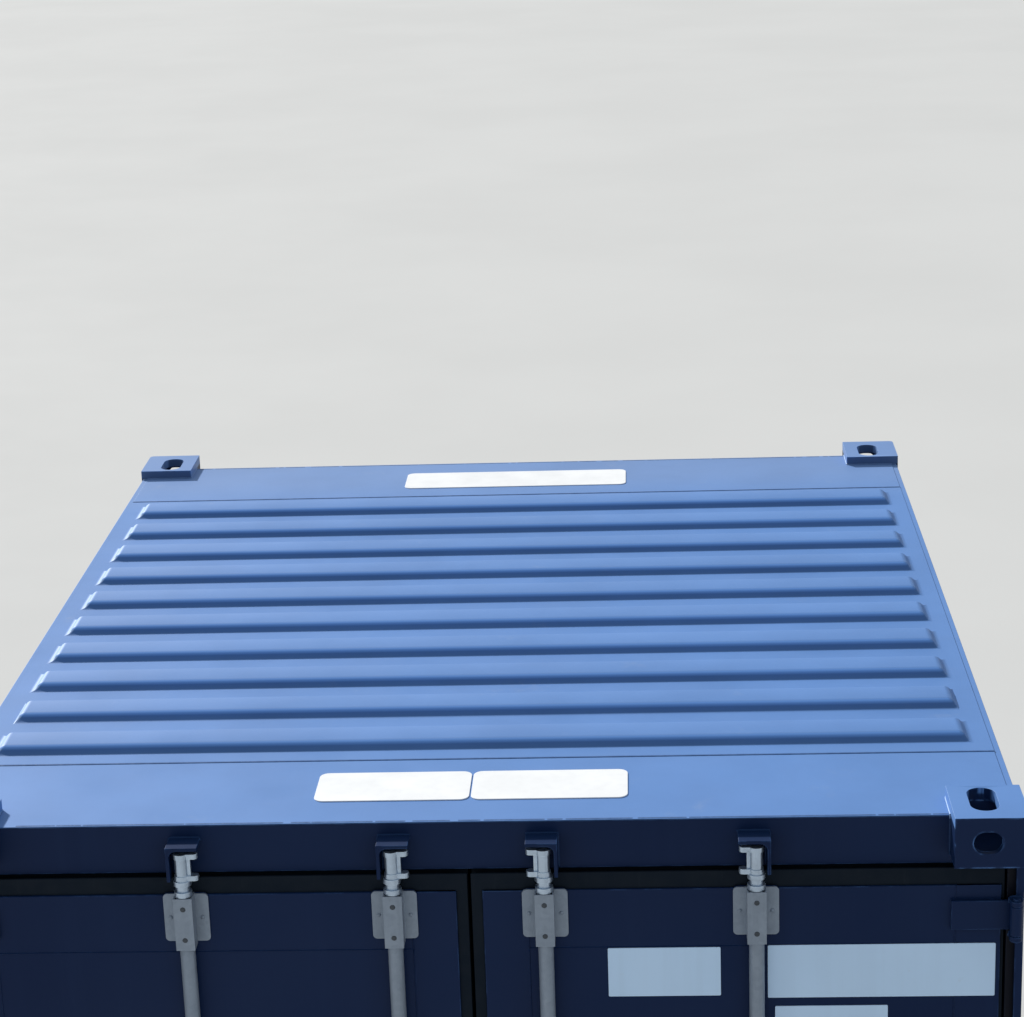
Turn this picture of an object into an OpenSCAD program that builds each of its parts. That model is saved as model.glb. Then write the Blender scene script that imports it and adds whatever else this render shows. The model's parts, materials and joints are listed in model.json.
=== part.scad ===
// Ten foot steel freight container with two hinged doors and four locking bars.
// The door end faces -Y, +X is on the right of someone facing the doors, and the
// origin lies on the ground under the middle of the container.

/* [Container] */
// Outside length, along Y
container_length = 2991; // [2900:1:3200]
// Outside width, along X
container_width = 2438; // [2400:1:2500]
// Outside height
container_height = 2591; // [2500:1:2900]
// How far posts and rails stand inside the side faces of the corner fittings
side_inset = 4; // [2:0.5:6]
// How far the side walls stand inside the outer faces of the rails
wall_inset = 3; // [1:0.5:6]
// Height of the underframe above the ground
ground_gap = 17; // [12:1:20]

/* [Corner fittings] */
// Length of a corner fitting, along Y
fitting_length = 178; // [175:1:185]
// Width of a corner fitting, along X
fitting_width = 162; // [155:1:170]
// Height of a corner fitting
fitting_height = 118; // [110:1:125]
// Thickness of the wall with the long slot
fitting_plate = 28.5; // [26:0.5:32]
// Thickness of the other walls
fitting_wall = 16; // [14:0.5:18]
// Radius of the upright edge at the container's corner
fitting_round = 14; // [8:1:16]
// Length of the slot in the top or bottom face
slot_length = 124.5; // [118:0.5:128]
// Width of the slot in the top or bottom face
slot_width = 63.5; // [60:0.5:66]
// Distance of the slot's middle from the end face
slot_from_end = 102; // [98:0.5:104]
// Distance of the slot's middle from the side face
slot_from_side = 89.5; // [86:0.5:92]
// Length of the hole in the side face
side_hole_length = 79.5; // [76:0.5:84]
// Length of the hole in the end face
end_hole_length = 63.5; // [60:0.5:68]
// Height of the holes in the side and end faces
face_hole_height = 51; // [46:0.5:54]

/* [Posts] */
// Thickness of the outer plate of a post
post_plate = 6; // [5:0.5:8]
// Distance of a door post's front lip behind the face of the fittings
post_recess = 38; // [36:1:42]
// Width of the front lip of a door post
post_lip = 18; // [16:1:19]
// Wall of the channel that closes the inside of a door post
post_channel = 10; // [8:1:12]
// Depth of the side step between the opening and the outer face
post_channel_width = 35; // [34:1:38]
// Width of the front face of a post at the blind end
front_post_width = 85; // [75:1:95]

/* [Rails and end beams] */
// Side of the square top rail
top_rail = 60; // [50:1:70]
// Wall of the top rail
top_rail_wall = 3; // [2.5:0.5:5]
// Height of the bottom rail
bottom_rail_height = 158; // [150:1:165]
// Width of the bottom rail's upper flange
bottom_rail_upper = 48; // [46:1:60]
// Width of the bottom rail's lower flange
bottom_rail_lower = 30; // [20:1:36]
// Wall of the bottom rail
bottom_rail_wall = 4.5; // [3.5:0.5:6]
// Distance of the header and sill behind the face of the fittings, door end
beam_recess = 79; // [78:1:84]
// Depth of the header and of the sill
beam_depth = 78; // [70:1:90]
// Wall of the header and of the sill
beam_wall = 4; // [3:0.5:6]
// How far the header reaches down below the roof
header_drop = 114; // [110:1:125]
// Height of the sill's top above the ground
sill_top = 150; // [146:1:155]
// Distance of the blind end's wall behind the face of the fittings
front_recess = 70; // [60:1:75]
// Height of the top of the blind end's lower beam
front_sill_top = 160; // [150:1:166]

/* [Roof] */
// How far the roof sheet lies below the top of the fittings
roof_drop = 26; // [20:1:30]
// Thickness of the roof sheet
roof_sheet = 2; // [1.5:0.5:3]
// Distance from the outer face of a top rail to the edge of the roof sheet
roof_edge = 15; // [8:1:20]
// Number of ribs pressed into each of the two roof panels
ribs_per_panel = 5; // [4:1:5]
// Distance from rib to rib
rib_pitch = 209; // [195:1:212]
// Height of a rib
rib_height = 20; // [12:1:22]
// Width of a rib's flat top
rib_top = 91; // [70:1:100]
// Width of the slope beside a rib's top
rib_slope = 13.5; // [8:0.5:20]
// Distance from the container's middle to the end of a rib
rib_reach = 1150; // [1100:1:1155]
// Length of each plain roof plate between an end beam and the ribbed panels
roof_plate_length = 355; // [340:1:360]

/* [Walls] */
// Thickness of the wall sheets
wall_sheet = 2; // [1.5:0.5:3]
// Depth of the side wall's waves, sheet included
side_wave_depth = 36; // [28:1:38]
// Distance from wave to wave in a side wall
side_wave_pitch = 278; // [250:1:300]
// Width of the outer flat of a side wall's wave
side_wave_outer = 72; // [60:1:80]
// Width of the slope of a side wall's wave
side_wave_slope = 68; // [40:1:70]
// Depth of the blind end wall's waves, sheet included
front_wave_depth = 45.6; // [36:0.2:48]
// Distance from wave to wave in the blind end wall
front_wave_pitch = 250; // [230:1:280]
// Width of the outer flat of the blind end wall's wave
front_wave_outer = 110; // [90:1:110]
// Width of the slope of the blind end wall's wave
front_wave_slope = 18; // [12:1:30]

/* [Floor] */
// Height of the floor's upper face above the ground
floor_top = 167; // [165:1:169]
// Thickness of the plywood floor
floor_board = 28; // [26:1:30]
// Width of a cross member's flanges
cross_member_width = 45; // [35:1:60]
// Wall of a cross member
cross_member_wall = 4; // [3:0.5:6]
// Number of cross members between a fork pocket and the end of the floor
outer_members = 2; // [1:1:2]
// Distance between the middles of the fork pockets
pocket_spacing = 900; // [850:1:950]
// Outside width of a fork pocket
pocket_width = 368; // [340:1:380]
// Wall of a fork pocket
pocket_wall = 4; // [3:0.5:6]
// Length of the plate under each end of a fork pocket
pocket_strap = 200; // [150:1:250]

/* [Doors] */
// Depth of the door frame's tubes
leaf_depth = 50; // [46:1:52]
// Distance of the door's face behind the face of the fittings
leaf_recess = 58; // [58:1:60]
// Width of the door frame's upright tubes
leaf_upright = 100; // [80:1:110]
// Height of the door frame's upper and lower channels
leaf_crossbar = 140; // [120:1:150]
// Wall of the door frame's tubes
leaf_wall = 3; // [2.5:0.5:4]
// Distance of a door's steel edge from the container's middle
meeting_seal = 29; // [24:1:32]
// Half of the gap between the two doors' seals
meeting_gap = 4; // [4:0.5:5]
// Width of the rubber seal above and below a door
edge_seal = 45; // [40:1:50]
// Gap between a door's steel edge and its post
hinge_side_gap = 12; // [11:1:14]
// Clearance between the seal and what it closes on
seal_gap = 5; // [5:0.5:6]
// Thickness of each lip of the seal
seal_lip = 6; // [4:1:8]
// Width of the seal's body behind its lips, as a share of the lips' width
seal_body = 0.6; // [0.4:0.1:0.8]
// Distance of a seal's lips behind the door's face and before its back
seal_set_back = 5; // [3:1:8]
// Depth of the door panel's pressed bands, sheet included
band_depth = 32; // [24:1:36]
// Height of a pressed band's flat
band_flat = 160; // [120:1:180]
// Height of a pressed band's slopes
band_slope = 40; // [20:1:50]
// Distance from band to band
band_pitch = 540; // [480:1:560]

/* [Hinges] */
// Number of hinges on each door
hinge_count = 4; // [3:1:5]
// Distance of the hinge pins from the outer face of a post
pin_from_side = 19; // [19:0.5:20]
// Distance of the hinge pins behind the face of the fittings
pin_from_face = 20; // [18:0.5:20]
// Diameter of a hinge pin
pin_diameter = 16; // [12:0.5:18]
// Radial clearance of a hinge pin in its blade
pin_clearance = 0.06; // [0.04:0.01:0.1]
// Radius of the round end of a blade or lug
knuckle_radius = 14; // [13:0.5:14]
// Height of a hinge blade
blade_height = 70; // [60:1:80]
// How far a pin stands out of its lugs at each end
pin_overrun = 4; // [2:1:8]
// Thickness of a hinge blade
blade_thick = 12; // [11:0.5:12]
// Width of the blade's neck behind the pin
blade_neck = 14; // [12:0.5:14]
// Gap between a blade's neck and the post behind it
neck_gap = 5; // [4:0.5:6]
// Length of a blade on the face of the door
blade_length = 110; // [90:1:140]
// Thickness of a hinge lug
lug_thick = 12; // [8:1:16]
// Clearance between a blade and its lugs
lug_gap = 1; // [0.5:0.1:1.5]
// Distance of the top hinge's middle below a door's upper edge
hinge_from_edge = 67; // [60:1:80]

/* [Locking bars] */
// Distance of the inner bars from the container's middle
inner_bar_x = 167; // [160:1:175]
// Distance of the outer bars from the container's middle
outer_bar_x = 632; // [625:1:640]
// Diameter of a locking bar
bar_diameter = 34; // [32:0.5:34]
// Distance of the bars' axes behind the face of the fittings
bar_from_face = 35; // [34:0.5:36]
// Diameter of the collars under a cam
collar_diameter = 40; // [38:0.5:42]
// Height of a collar
collar_height = 12; // [8:1:14]
// Reach of a cam's horn from the bar's axis
horn_reach = 38; // [30:0.5:38]
// Width of a cam's horn
horn_width = 20; // [16:1:24]
// Thickness of a cam's horn
horn_thick = 12; // [8:1:14]
// How much thinner a bar is between its cam and its guide
neck_step = 2; // [1:0.5:3]
// How far the web between a cam's horns stands out of the bar
cam_web = 4; // [2:1:8]
// Height of a cam above its lower horn's underside
cam_height = 64; // [56:1:66]

/* [Cam keepers] */
// Height of a keeper
keeper_height = 81; // [78:1:84]
// Distance of a keeper from the edge of the door opening
keeper_from_edge = 3; // [1:1:6]
// Width of a keeper on the side of the cam's horn
keeper_open_side = 39; // [36:1:42]
// Width of a keeper on the closed side
keeper_closed_side = 32; // [31:1:36]
// Wall of a keeper
keeper_wall = 8; // [6:1:8]
// Distance of a keeper's front behind the face of the fittings
keeper_from_face = 20; // [16:1:24]
// Radius of the bend inside a keeper
keeper_bend = 16; // [10:1:18]

/* [Bar guides] */
// Width of a guide's base plate
guide_width = 101; // [90:1:110]
// Height of the base plate of an end guide
guide_height = 115; // [100:1:125]
// Height of the base plate of a middle guide
middle_guide_height = 70; // [60:1:80]
// Thickness of a guide's base plate
guide_plate = 5; // [4:0.5:5]
// Radius of the base plate's corners
guide_round = 10; // [6:1:12]
// Width of the strap over the bar
strap_width = 42; // [40:1:46]
// How far the strap runs past the base plate at each end
strap_overrun = 5; // [2:1:8]
// Clearance of the bar in its strap
strap_gap = 0.5; // [0.3:0.1:0.8]
// Diameter of the rivet holes in the strap
rivet_hole = 9; // [7:0.5:11]
// Distance between the rivet holes, as a share of the base plate's height
rivet_spacing = 0.65; // [0.4:0.01:0.7]
// Distance of the top guide's middle below a door's upper edge
guide_from_edge = 53; // [50:1:62]
// Height of the upper middle guides above the ground
middle_guide_z = 1640; // [1500:1:1660]
// Height of the guides below the handles above the ground
lower_guide_z = 935; // [925:1:945]

/* [Handles] */
// Height of the handles above the ground
handle_z = 1030; // [1020:1:1120]
// Length of a handle from its bar's axis
handle_length = 430; // [380:1:435]
// Height of a handle's flat bar
handle_height = 32; // [26:1:38]
// Thickness of a handle
handle_thick = 10; // [8:1:10]
// Gap between a handle's root and its sleeve
handle_gap = 2; // [1:0.5:4]
// Diameter of the sleeve that carries a handle
sleeve_diameter = 42; // [40:1:42]
// Height of the sleeve that carries a handle
sleeve_height = 70; // [60:1:90]
// Reach of the sleeve's lug from the bar's axis
handle_lug = 62; // [55:1:70]
// Distance of a handle catch from its bar's axis
catch_from_bar = 330; // [300:1:350]
// Width of a handle catch
catch_width = 60; // [50:1:80]
// Wall of a handle catch
catch_wall = 5; // [4:0.5:6]
// Clearance between a handle and its catch
catch_gap = 5; // [5:0.5:7]

/* [Hidden] */
$fn = 48;

// Faces and levels that the pieces share
half_length = container_length / 2;
half_width = container_width / 2;
face_x = half_width - side_inset;
fitting_x = half_width - fitting_width;
roof_z = container_height - roof_drop;
rail_top_z = roof_z - roof_sheet;
upper_fitting_z = container_height - fitting_height;
opening_x = face_x - post_channel_width;
opening_top = roof_z - header_drop;
front_post_x = face_x - front_post_width;
floor_bottom = floor_top - floor_board;
bottom_rail_top = ground_gap + bottom_rail_height;
beam_end = beam_recess + beam_depth;
front_beam_end = front_recess + beam_depth;

// Edges of a door
leaf_outer = opening_x - hinge_side_gap;
leaf_top = opening_top - edge_seal;
leaf_bottom = sill_top + edge_seal;
middle_z = (opening_top + sill_top) / 2;
bar_x = [inner_bar_x, outer_bar_x];
bar_radius = bar_diameter / 2;

// Places of the hinges
pin_x = face_x - pin_from_side;
top_hinge_z = leaf_top - hinge_from_edge;
bottom_hinge_z = leaf_bottom + hinge_from_edge;
hinge_z = [for (i = [0:hinge_count - 1])
    bottom_hinge_z + i * (top_hinge_z - bottom_hinge_z) / (hinge_count - 1)];

// Places along Y, counted from either end's fitting faces
function door_y(depth) = depth - half_length;
function front_y(depth) = half_length - depth;

// Paint and metal colours
paint = [0.16, 0.27, 0.50];
zinc = [0.56, 0.57, 0.55];
rubber = [0.05, 0.05, 0.05];
wood = [0.55, 0.40, 0.25];

// Small overrun that takes a cut clear through a face
cut = 1;

// Turns the children over on any of the three axes
module flip(x = false, y = false, z = false)
    mirror([x ? 1 : 0, 0, 0]) mirror([0, y ? 1 : 0, 0]) mirror([0, 0, z ? 1 : 0]) children();

// A box from its lowest to its highest corner
module block(low, high) translate(low) cube(high - low);

// A flat outline of Y and Z drawn out along X
module along_x(from, to)
    translate([from, 0, 0]) rotate([90, 0, 90]) linear_extrude(to - from) children();

// A flat outline of X and Z drawn out along Y
module along_y(from, to)
    translate([0, to, 0]) rotate([90, 0, 0]) linear_extrude(to - from) children();

// A rectangle from its lowest to its highest corner
module panel(low, high) translate(low) square(high - low);

// A rectangle about the origin with rounded corners
module rounded_panel(width, height, radius) {
    square([width, height - 2 * radius], center = true);
    square([width - 2 * radius, height], center = true);
    for (x = [-1, 1], y = [-1, 1])
        translate([x * (width / 2 - radius), y * (height / 2 - radius)]) circle(radius);
}

// A slot with round ends, its length along Y
module slot(length, width) {
    square([width, length - width], center = true);
    for (y = [-1, 1]) translate([0, y * (length - width) / 2]) circle(width / 2);
}

// Bends of a corrugated sheet's outer face: along the wall, then inwards
function wave_line(span, pitch, outer, slope, rise, shift) =
    let (waves = floor((span - outer) / pitch), start = -waves * pitch / 2)
    concat(
        [[-span / 2, 0]],
        [for (i = [0:waves - 1]) let (at = start + i * pitch) each [
            [at + outer / 2 - shift, 0],
            [at + outer / 2 + slope - shift, rise],
            [at + pitch - outer / 2 - slope + shift, rise],
            [at + pitch - outer / 2 + shift, 0]
        ]],
        [[span / 2, 0]]
    );

// Section of a corrugated sheet of even thickness, depth counted over the sheet
function wave_section(span, pitch, outer, slope, depth, sheet) =
    let (
        rise = depth - sheet,
        mitre = sheet * tan(atan2(rise, slope) / 2),
        face = wave_line(span, pitch, outer, slope, rise, 0),
        back = wave_line(span, pitch, outer, slope, rise, mitre)
    )
    concat(face, [for (i = [len(back) - 1:-1:0]) back[i] + [0, sheet]]);

// Corner fitting with its outer faces on X = 0, Y = 0 and Z = 0
module corner_fitting() {
    inner = [fitting_width, fitting_length, fitting_height];
    difference() {
        linear_extrude(fitting_height) {
            panel([fitting_round, 0], [fitting_width, fitting_length]);
            panel([0, fitting_round], [fitting_width, fitting_length]);
            translate([fitting_round, fitting_round]) circle(fitting_round);
        }
        block([fitting_wall, fitting_wall, fitting_plate], inner - [1, 1, 1] * fitting_wall);
        translate([slot_from_side, slot_from_end, -cut])
            linear_extrude(fitting_plate + 2 * cut) slot(slot_length, slot_width);
        translate([0, slot_from_end, fitting_height / 2]) along_x(-cut, fitting_wall + cut)
            rotate(90) slot(side_hole_length, face_hole_height, $fn = 32);
        translate([slot_from_side, 0, fitting_height / 2]) along_y(-cut, fitting_wall + cut)
            rotate(90) slot(end_hole_length, face_hole_height, $fn = 32);
    }
}

// Corner fitting at one of the eight corners
module placed_fitting(right, front, top) {
    color(paint) flip(x = right, y = front) translate([-half_width, -half_length, top ? container_height : 0])
        flip(z = top) corner_fitting();
}

// Door post on the right: outer plate with a front lip, closed by a channel on the inside
module door_post() {
    front = door_y(post_recess);
    back = door_y(fitting_length);
    channel_front = door_y(leaf_recess);
    color(paint) difference() {
        translate([0, 0, fitting_height]) linear_extrude(upper_fitting_z - fitting_height) {
            panel([face_x - post_plate, front], [face_x, back]);
            panel([face_x - post_lip, front], [face_x, front + post_plate]);
            difference() {
                panel([opening_x, channel_front], [face_x, back]);
                panel([opening_x + post_channel, channel_front + post_channel],
                    [face_x - post_plate, back - post_channel]);
            }
        }
        hinge_notch = blade_height / 2 + lug_gap;
        for (z = hinge_z)
            block([face_x - post_lip - cut, front - cut, z - hinge_notch],
                [face_x - post_plate, front + post_plate + cut, z + hinge_notch]);
    }
}

// Post at the blind end, on the right: one plate bent round the corner and back to the wall
module front_post() {
    front = front_y(side_inset);
    color(paint) translate([0, 0, fitting_height]) linear_extrude(upper_fitting_z - fitting_height) {
        panel([face_x - post_plate, front_y(fitting_length)], [face_x, front]);
        panel([front_post_x, front - post_plate], [face_x, front]);
        panel([front_post_x, front_y(front_recess + front_wave_depth)], [front_post_x + post_plate, front]);
    }
}

// Square tube on the right, between the upper fittings
module top_rail_bar() {
    low = [face_x - top_rail, rail_top_z - top_rail];
    high = [face_x, rail_top_z];
    color(paint) along_y(door_y(fitting_length), front_y(fitting_length)) difference() {
        panel(low, high);
        panel(low + [1, 1] * top_rail_wall, high - [1, 1] * top_rail_wall);
    }
}

// Channel on the right, between the lower fittings, cut out for the fork pockets
module bottom_rail() {
    wall = bottom_rail_wall;
    color(paint) difference() {
        along_y(door_y(fitting_length), front_y(fitting_length)) {
            panel([face_x - wall, ground_gap], [face_x, bottom_rail_top]);
            panel([face_x - bottom_rail_lower, ground_gap], [face_x, ground_gap + wall]);
            panel([face_x - bottom_rail_upper, bottom_rail_top - wall], [face_x, bottom_rail_top]);
        }
        for (y = [-1, 1] * pocket_spacing / 2)
            block([face_x - bottom_rail_lower - cut, y - pocket_width / 2, ground_gap - cut],
                [face_x + cut, y + pocket_width / 2, floor_bottom]);
    }
}

// Closed beam between the posts, narrower where it passes between two fittings
module end_beam(wide, wide_z, narrow_z, y) {
    low = min(wide_z[0], narrow_z[0]);
    high = max(wide_z[1], narrow_z[1]);
    color(paint) difference() {
        along_y(y[0], y[1]) {
            panel([-wide, wide_z[0]], [wide, wide_z[1]]);
            panel([-fitting_x, narrow_z[0]], [fitting_x, narrow_z[1]]);
        }
        block([-fitting_x - cut, y[0] + beam_wall, low + beam_wall],
            [fitting_x + cut, y[1] - beam_wall, high - beam_wall]);
    }
}

module door_header() {
    end_beam(opening_x, [opening_top, upper_fitting_z], [opening_top, rail_top_z],
        [door_y(beam_recess), door_y(beam_end)]);
}

module door_sill() {
    end_beam(opening_x, [fitting_height, sill_top], [ground_gap, sill_top],
        [door_y(beam_recess), door_y(beam_end)]);
}

module front_header() {
    end_beam(fitting_x, [upper_fitting_z, rail_top_z], [upper_fitting_z, rail_top_z],
        [front_y(front_beam_end), front_y(front_recess)]);
}

module front_sill() {
    end_beam(front_post_x, [fitting_height, front_sill_top], [ground_gap, front_sill_top],
        [front_y(front_beam_end), front_y(front_recess)]);
}

// Solid under or over a pressed rib: sloped on all four sides, its foot on Z = 0
module rib_form(half_top, reach, height, slope) {
    intersection() {
        along_x(-reach, reach)
            polygon([[-half_top - slope, 0], [-half_top, height], [half_top, height], [half_top + slope, 0]]);
        along_y(-half_top - slope, half_top + slope)
            polygon([[-reach, 0], [slope - reach, height], [reach - slope, height], [reach, 0]]);
    }
}

// One ribbed roof panel, drawn from the container's middle towards the blind end
module roof_panel() {
    sheet_x = face_x - roof_edge;
    panel_end = half_length - beam_recess - roof_plate_length;
    first_rib = rib_pitch / 2;
    thinner = roof_sheet * tan((90 - atan2(rib_height, rib_slope)) / 2);
    difference() {
        union() {
            block([-sheet_x, 0, rail_top_z], [sheet_x, panel_end, roof_z]);
            for (i = [0:ribs_per_panel - 1])
                translate([0, first_rib + i * rib_pitch, roof_z])
                    rib_form(rib_top / 2, rib_reach, rib_height, rib_slope);
        }
        for (i = [0:ribs_per_panel - 1])
            translate([0, first_rib + i * rib_pitch, rail_top_z])
                rib_form(rib_top / 2 - roof_sheet + thinner, rib_reach - roof_sheet, rib_height, rib_slope);
    }
}

module roof_panels() {
    color(paint) {
        roof_panel();
        flip(y = true) roof_panel();
    }
}

// Plain roof plate between the fittings and up to the ribbed panels, at the door end
module roof_end_plate(beam_face) {
    sheet_x = face_x - roof_edge;
    plate_end = door_y(beam_recess + roof_plate_length);
    translate([0, 0, rail_top_z]) linear_extrude(roof_sheet) {
        panel([-fitting_x, door_y(beam_face)], [fitting_x, door_y(fitting_length)]);
        panel([-sheet_x, door_y(fitting_length)], [sheet_x, plate_end]);
    }
}

module roof_end_plates() {
    color(paint) {
        roof_end_plate(beam_recess);
        flip(y = true) roof_end_plate(front_recess);
    }
}

// Corrugated wall on the right, between the rails
module side_wall() {
    section = wave_section(container_length - 2 * fitting_length, side_wave_pitch, side_wave_outer,
        side_wave_slope, side_wave_depth, wall_sheet);
    sheet_x = face_x - wall_inset;
    color(paint) translate([0, 0, bottom_rail_top])
        linear_extrude(rail_top_z - top_rail - bottom_rail_top)
            polygon([for (p = section) [sheet_x - p[1], p[0]]]);
}

// Corrugated wall across the blind end
module front_wall() {
    section = wave_section(2 * front_post_x, front_wave_pitch, front_wave_outer,
        front_wave_slope, front_wave_depth, wall_sheet);
    color(paint) translate([0, 0, front_sill_top]) linear_extrude(upper_fitting_z - front_sill_top)
        polygon([for (p = section) [p[0], front_y(front_recess) - p[1]]]);
}

// Plywood floor under the bottom rails' upper flanges
module floor_boards() {
    edge_x = face_x - bottom_rail_wall;
    color(wood) difference() {
        block([-edge_x, door_y(beam_end), floor_bottom], [edge_x, front_y(front_beam_end), floor_top]);
        for (x = [0, 1], y = [0, 1]) flip(x = x == 1, y = y == 1)
            block([opening_x, door_y(0), floor_bottom - cut], [half_width, door_y(fitting_length), floor_top + cut]);
    }
}

// Places of the cross members: one in the middle, the rest outside the fork pockets
pocket_outer = (pocket_spacing + pocket_width) / 2;
member_span = half_length - beam_end - pocket_outer;
member_y = concat([0], [for (end = [-1, 1], i = [1:outer_members])
    end * (pocket_outer + i * member_span / (outer_members + 1))]);

// Channels across the underframe, resting on the bottom rails' lower flanges
module cross_members() {
    low = ground_gap + bottom_rail_wall;
    reach = face_x - bottom_rail_wall;
    color(paint) for (y = member_y) along_x(-reach, reach) difference() {
        panel([y - cross_member_width / 2, low], [y + cross_member_width / 2, floor_bottom]);
        panel([y - cross_member_width / 2 + cross_member_wall, low + cross_member_wall],
            [y + cross_member_width / 2 + cut, floor_bottom - cross_member_wall]);
    }
}

// Two tunnels across the underframe, closed below only near their mouths
module fork_pockets() {
    color(paint) for (y = [-1, 1] * pocket_spacing / 2) difference() {
        along_x(-face_x, face_x) difference() {
            panel([y - pocket_width / 2, ground_gap], [y + pocket_width / 2, floor_bottom]);
            panel([y - pocket_width / 2 + pocket_wall, ground_gap + pocket_wall],
                [y + pocket_width / 2 - pocket_wall, floor_bottom - pocket_wall]);
        }
        block([pocket_strap - face_x, y - pocket_width / 2 + pocket_wall, ground_gap - cut],
            [face_x - pocket_strap, y + pocket_width / 2 - pocket_wall, ground_gap + pocket_wall + cut]);
    }
}

// Hooked keeper of a right hand bar at the header: its horn leaves through the side towards -X
module keeper() {
    inside_x = keeper_closed_side - keeper_wall;
    inside_z = keeper_height - keeper_wall;
    translate([0, 0, opening_top + keeper_from_edge])
        along_y(door_y(keeper_from_face), door_y(beam_recess)) difference() {
            panel([-keeper_open_side, 0], [keeper_closed_side, keeper_height]);
            panel([-keeper_open_side - cut, -cut], [inside_x - keeper_bend, inside_z]);
            panel([-keeper_open_side - cut, -cut], [inside_x, inside_z - keeper_bend]);
            translate([inside_x - keeper_bend, inside_z - keeper_bend]) circle(keeper_bend);
        }
}

// The same piece above and below the middle of the door opening
module at_both_ends() {
    children();
    translate([0, 0, 2 * middle_z]) flip(z = true) children();
}

module cam_keepers() {
    color(paint) for (side = [false, true]) flip(x = side)
        at_both_ends() for (x = bar_x) translate([x, 0, 0]) keeper();
}

// One hinge lug: a plate with a round end, from the pin back to the post's lip
module hinge_lug() {
    linear_extrude(lug_thick) {
        translate([pin_x, door_y(pin_from_face)]) circle(knuckle_radius);
        panel([pin_x - knuckle_radius, door_y(pin_from_face)], [pin_x + knuckle_radius, door_y(post_recess)]);
    }
}

// Two lugs and the pin through them, for one hinge on the right
module lug_pair() {
    lug_z = blade_height / 2 + lug_gap;
    for (upper = [false, true]) flip(z = upper) translate([0, 0, lug_z]) hinge_lug();
    translate([pin_x, door_y(pin_from_face), 0])
        cylinder(h = 2 * (lug_z + lug_thick + pin_overrun), d = pin_diameter, center = true);
}

module hinge_lugs() {
    color(paint) for (side = [false, true]) flip(x = side)
        for (z = hinge_z) translate([0, 0, z]) lug_pair();
}

// Right door's frame: tubes upright, channels open to the inside across
module door_frame() {
    front = door_y(leaf_recess);
    back = front + leaf_depth;
    left = meeting_seal + leaf_upright;
    right = leaf_outer - leaf_upright;
    color(paint) {
        for (x = [meeting_seal, right]) translate([x, 0, leaf_bottom])
            linear_extrude(leaf_top - leaf_bottom) difference() {
                panel([0, front], [leaf_upright, back]);
                panel([leaf_wall, front + leaf_wall], [leaf_upright - leaf_wall, back - leaf_wall]);
            }
        at_both_ends() along_x(left, right) difference() {
            panel([front, leaf_top - leaf_crossbar], [back, leaf_top]);
            panel([front + leaf_wall, leaf_top - leaf_crossbar + leaf_wall], [back + cut, leaf_top - leaf_wall]);
        }
    }
}

// Right door's panel with level bands pressed inwards
module door_panel() {
    section = wave_section(leaf_top - leaf_bottom - 2 * leaf_crossbar, band_pitch,
        band_pitch - band_flat - 2 * band_slope, band_slope, band_depth, wall_sheet);
    color(paint) along_x(meeting_seal + leaf_upright, leaf_outer - leaf_upright)
        polygon([for (p = section) [door_y(leaf_recess) + p[1], middle_z + p[0]]]);
}

// Flat ring of the right door's seal, from the door's edge out to a share of the seal's width
module seal_ring(share) {
    side_width = hinge_side_gap - seal_gap;
    middle_width = meeting_seal - meeting_gap;
    end_width = edge_seal - seal_gap;
    difference() {
        panel([meeting_seal - middle_width * share, leaf_bottom - end_width * share],
            [leaf_outer + side_width * share, leaf_top + end_width * share]);
        panel([meeting_seal, leaf_bottom], [leaf_outer, leaf_top]);
    }
}

// Right door's rubber seal: a body on the door's edge and two lips
module door_seal() {
    lip_front = door_y(leaf_recess + seal_set_back);
    lip_back = door_y(leaf_recess + leaf_depth - seal_set_back);
    color(rubber) {
        along_y(lip_front, lip_front + seal_lip) seal_ring(1);
        along_y(lip_front, lip_back) seal_ring(seal_body);
        along_y(lip_back - seal_lip, lip_back) seal_ring(1);
    }
}

// Right door's hinge blades: an arm on the door's face, a neck and a round end on the pin
module hinge_blades() {
    front = door_y(leaf_recess);
    pin_y = door_y(pin_from_face);
    step_y = front - neck_gap;
    color(paint) for (z = hinge_z) translate([0, 0, z - blade_height / 2])
        difference() {
            linear_extrude(blade_height) {
                panel([leaf_outer - blade_length, front - blade_thick], [leaf_outer, front]);
                panel([leaf_outer - cut, front - blade_thick], [pin_x + blade_neck / 2, step_y]);
                panel([pin_x - blade_neck / 2, pin_y], [pin_x + blade_neck / 2, step_y]);
                translate([pin_x, pin_y]) circle(knuckle_radius);
            }
            translate([pin_x, pin_y, -cut])
                cylinder(h = blade_height + 2 * cut, r = pin_diameter / 2 + pin_clearance);
        }
}

// Guide for a bar: a base plate on the door and a strap round the bar, centred on Z = 0
module bar_guide(height) {
    front = door_y(leaf_recess);
    axis = door_y(bar_from_face);
    strap_x = bar_radius + strap_gap;
    strap_wall = strap_width / 2 - strap_x;
    strap_z = height / 2 + strap_overrun;
    difference() {
        union() {
            along_y(front - guide_plate, front) rounded_panel(guide_width, height, guide_round);
            block([-strap_width / 2, axis - strap_x - strap_wall, -strap_z],
                [strap_width / 2, front - guide_plate, strap_z]);
        }
        block([-strap_x, axis - strap_x, -strap_z - cut], [strap_x, front - guide_plate, strap_z + cut]);
        for (z = [-1, 1]) translate([0, axis, z * height * rivet_spacing / 2]) rotate([90, 0, 0])
            cylinder(h = strap_width, d = rivet_hole);
    }
}

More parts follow.
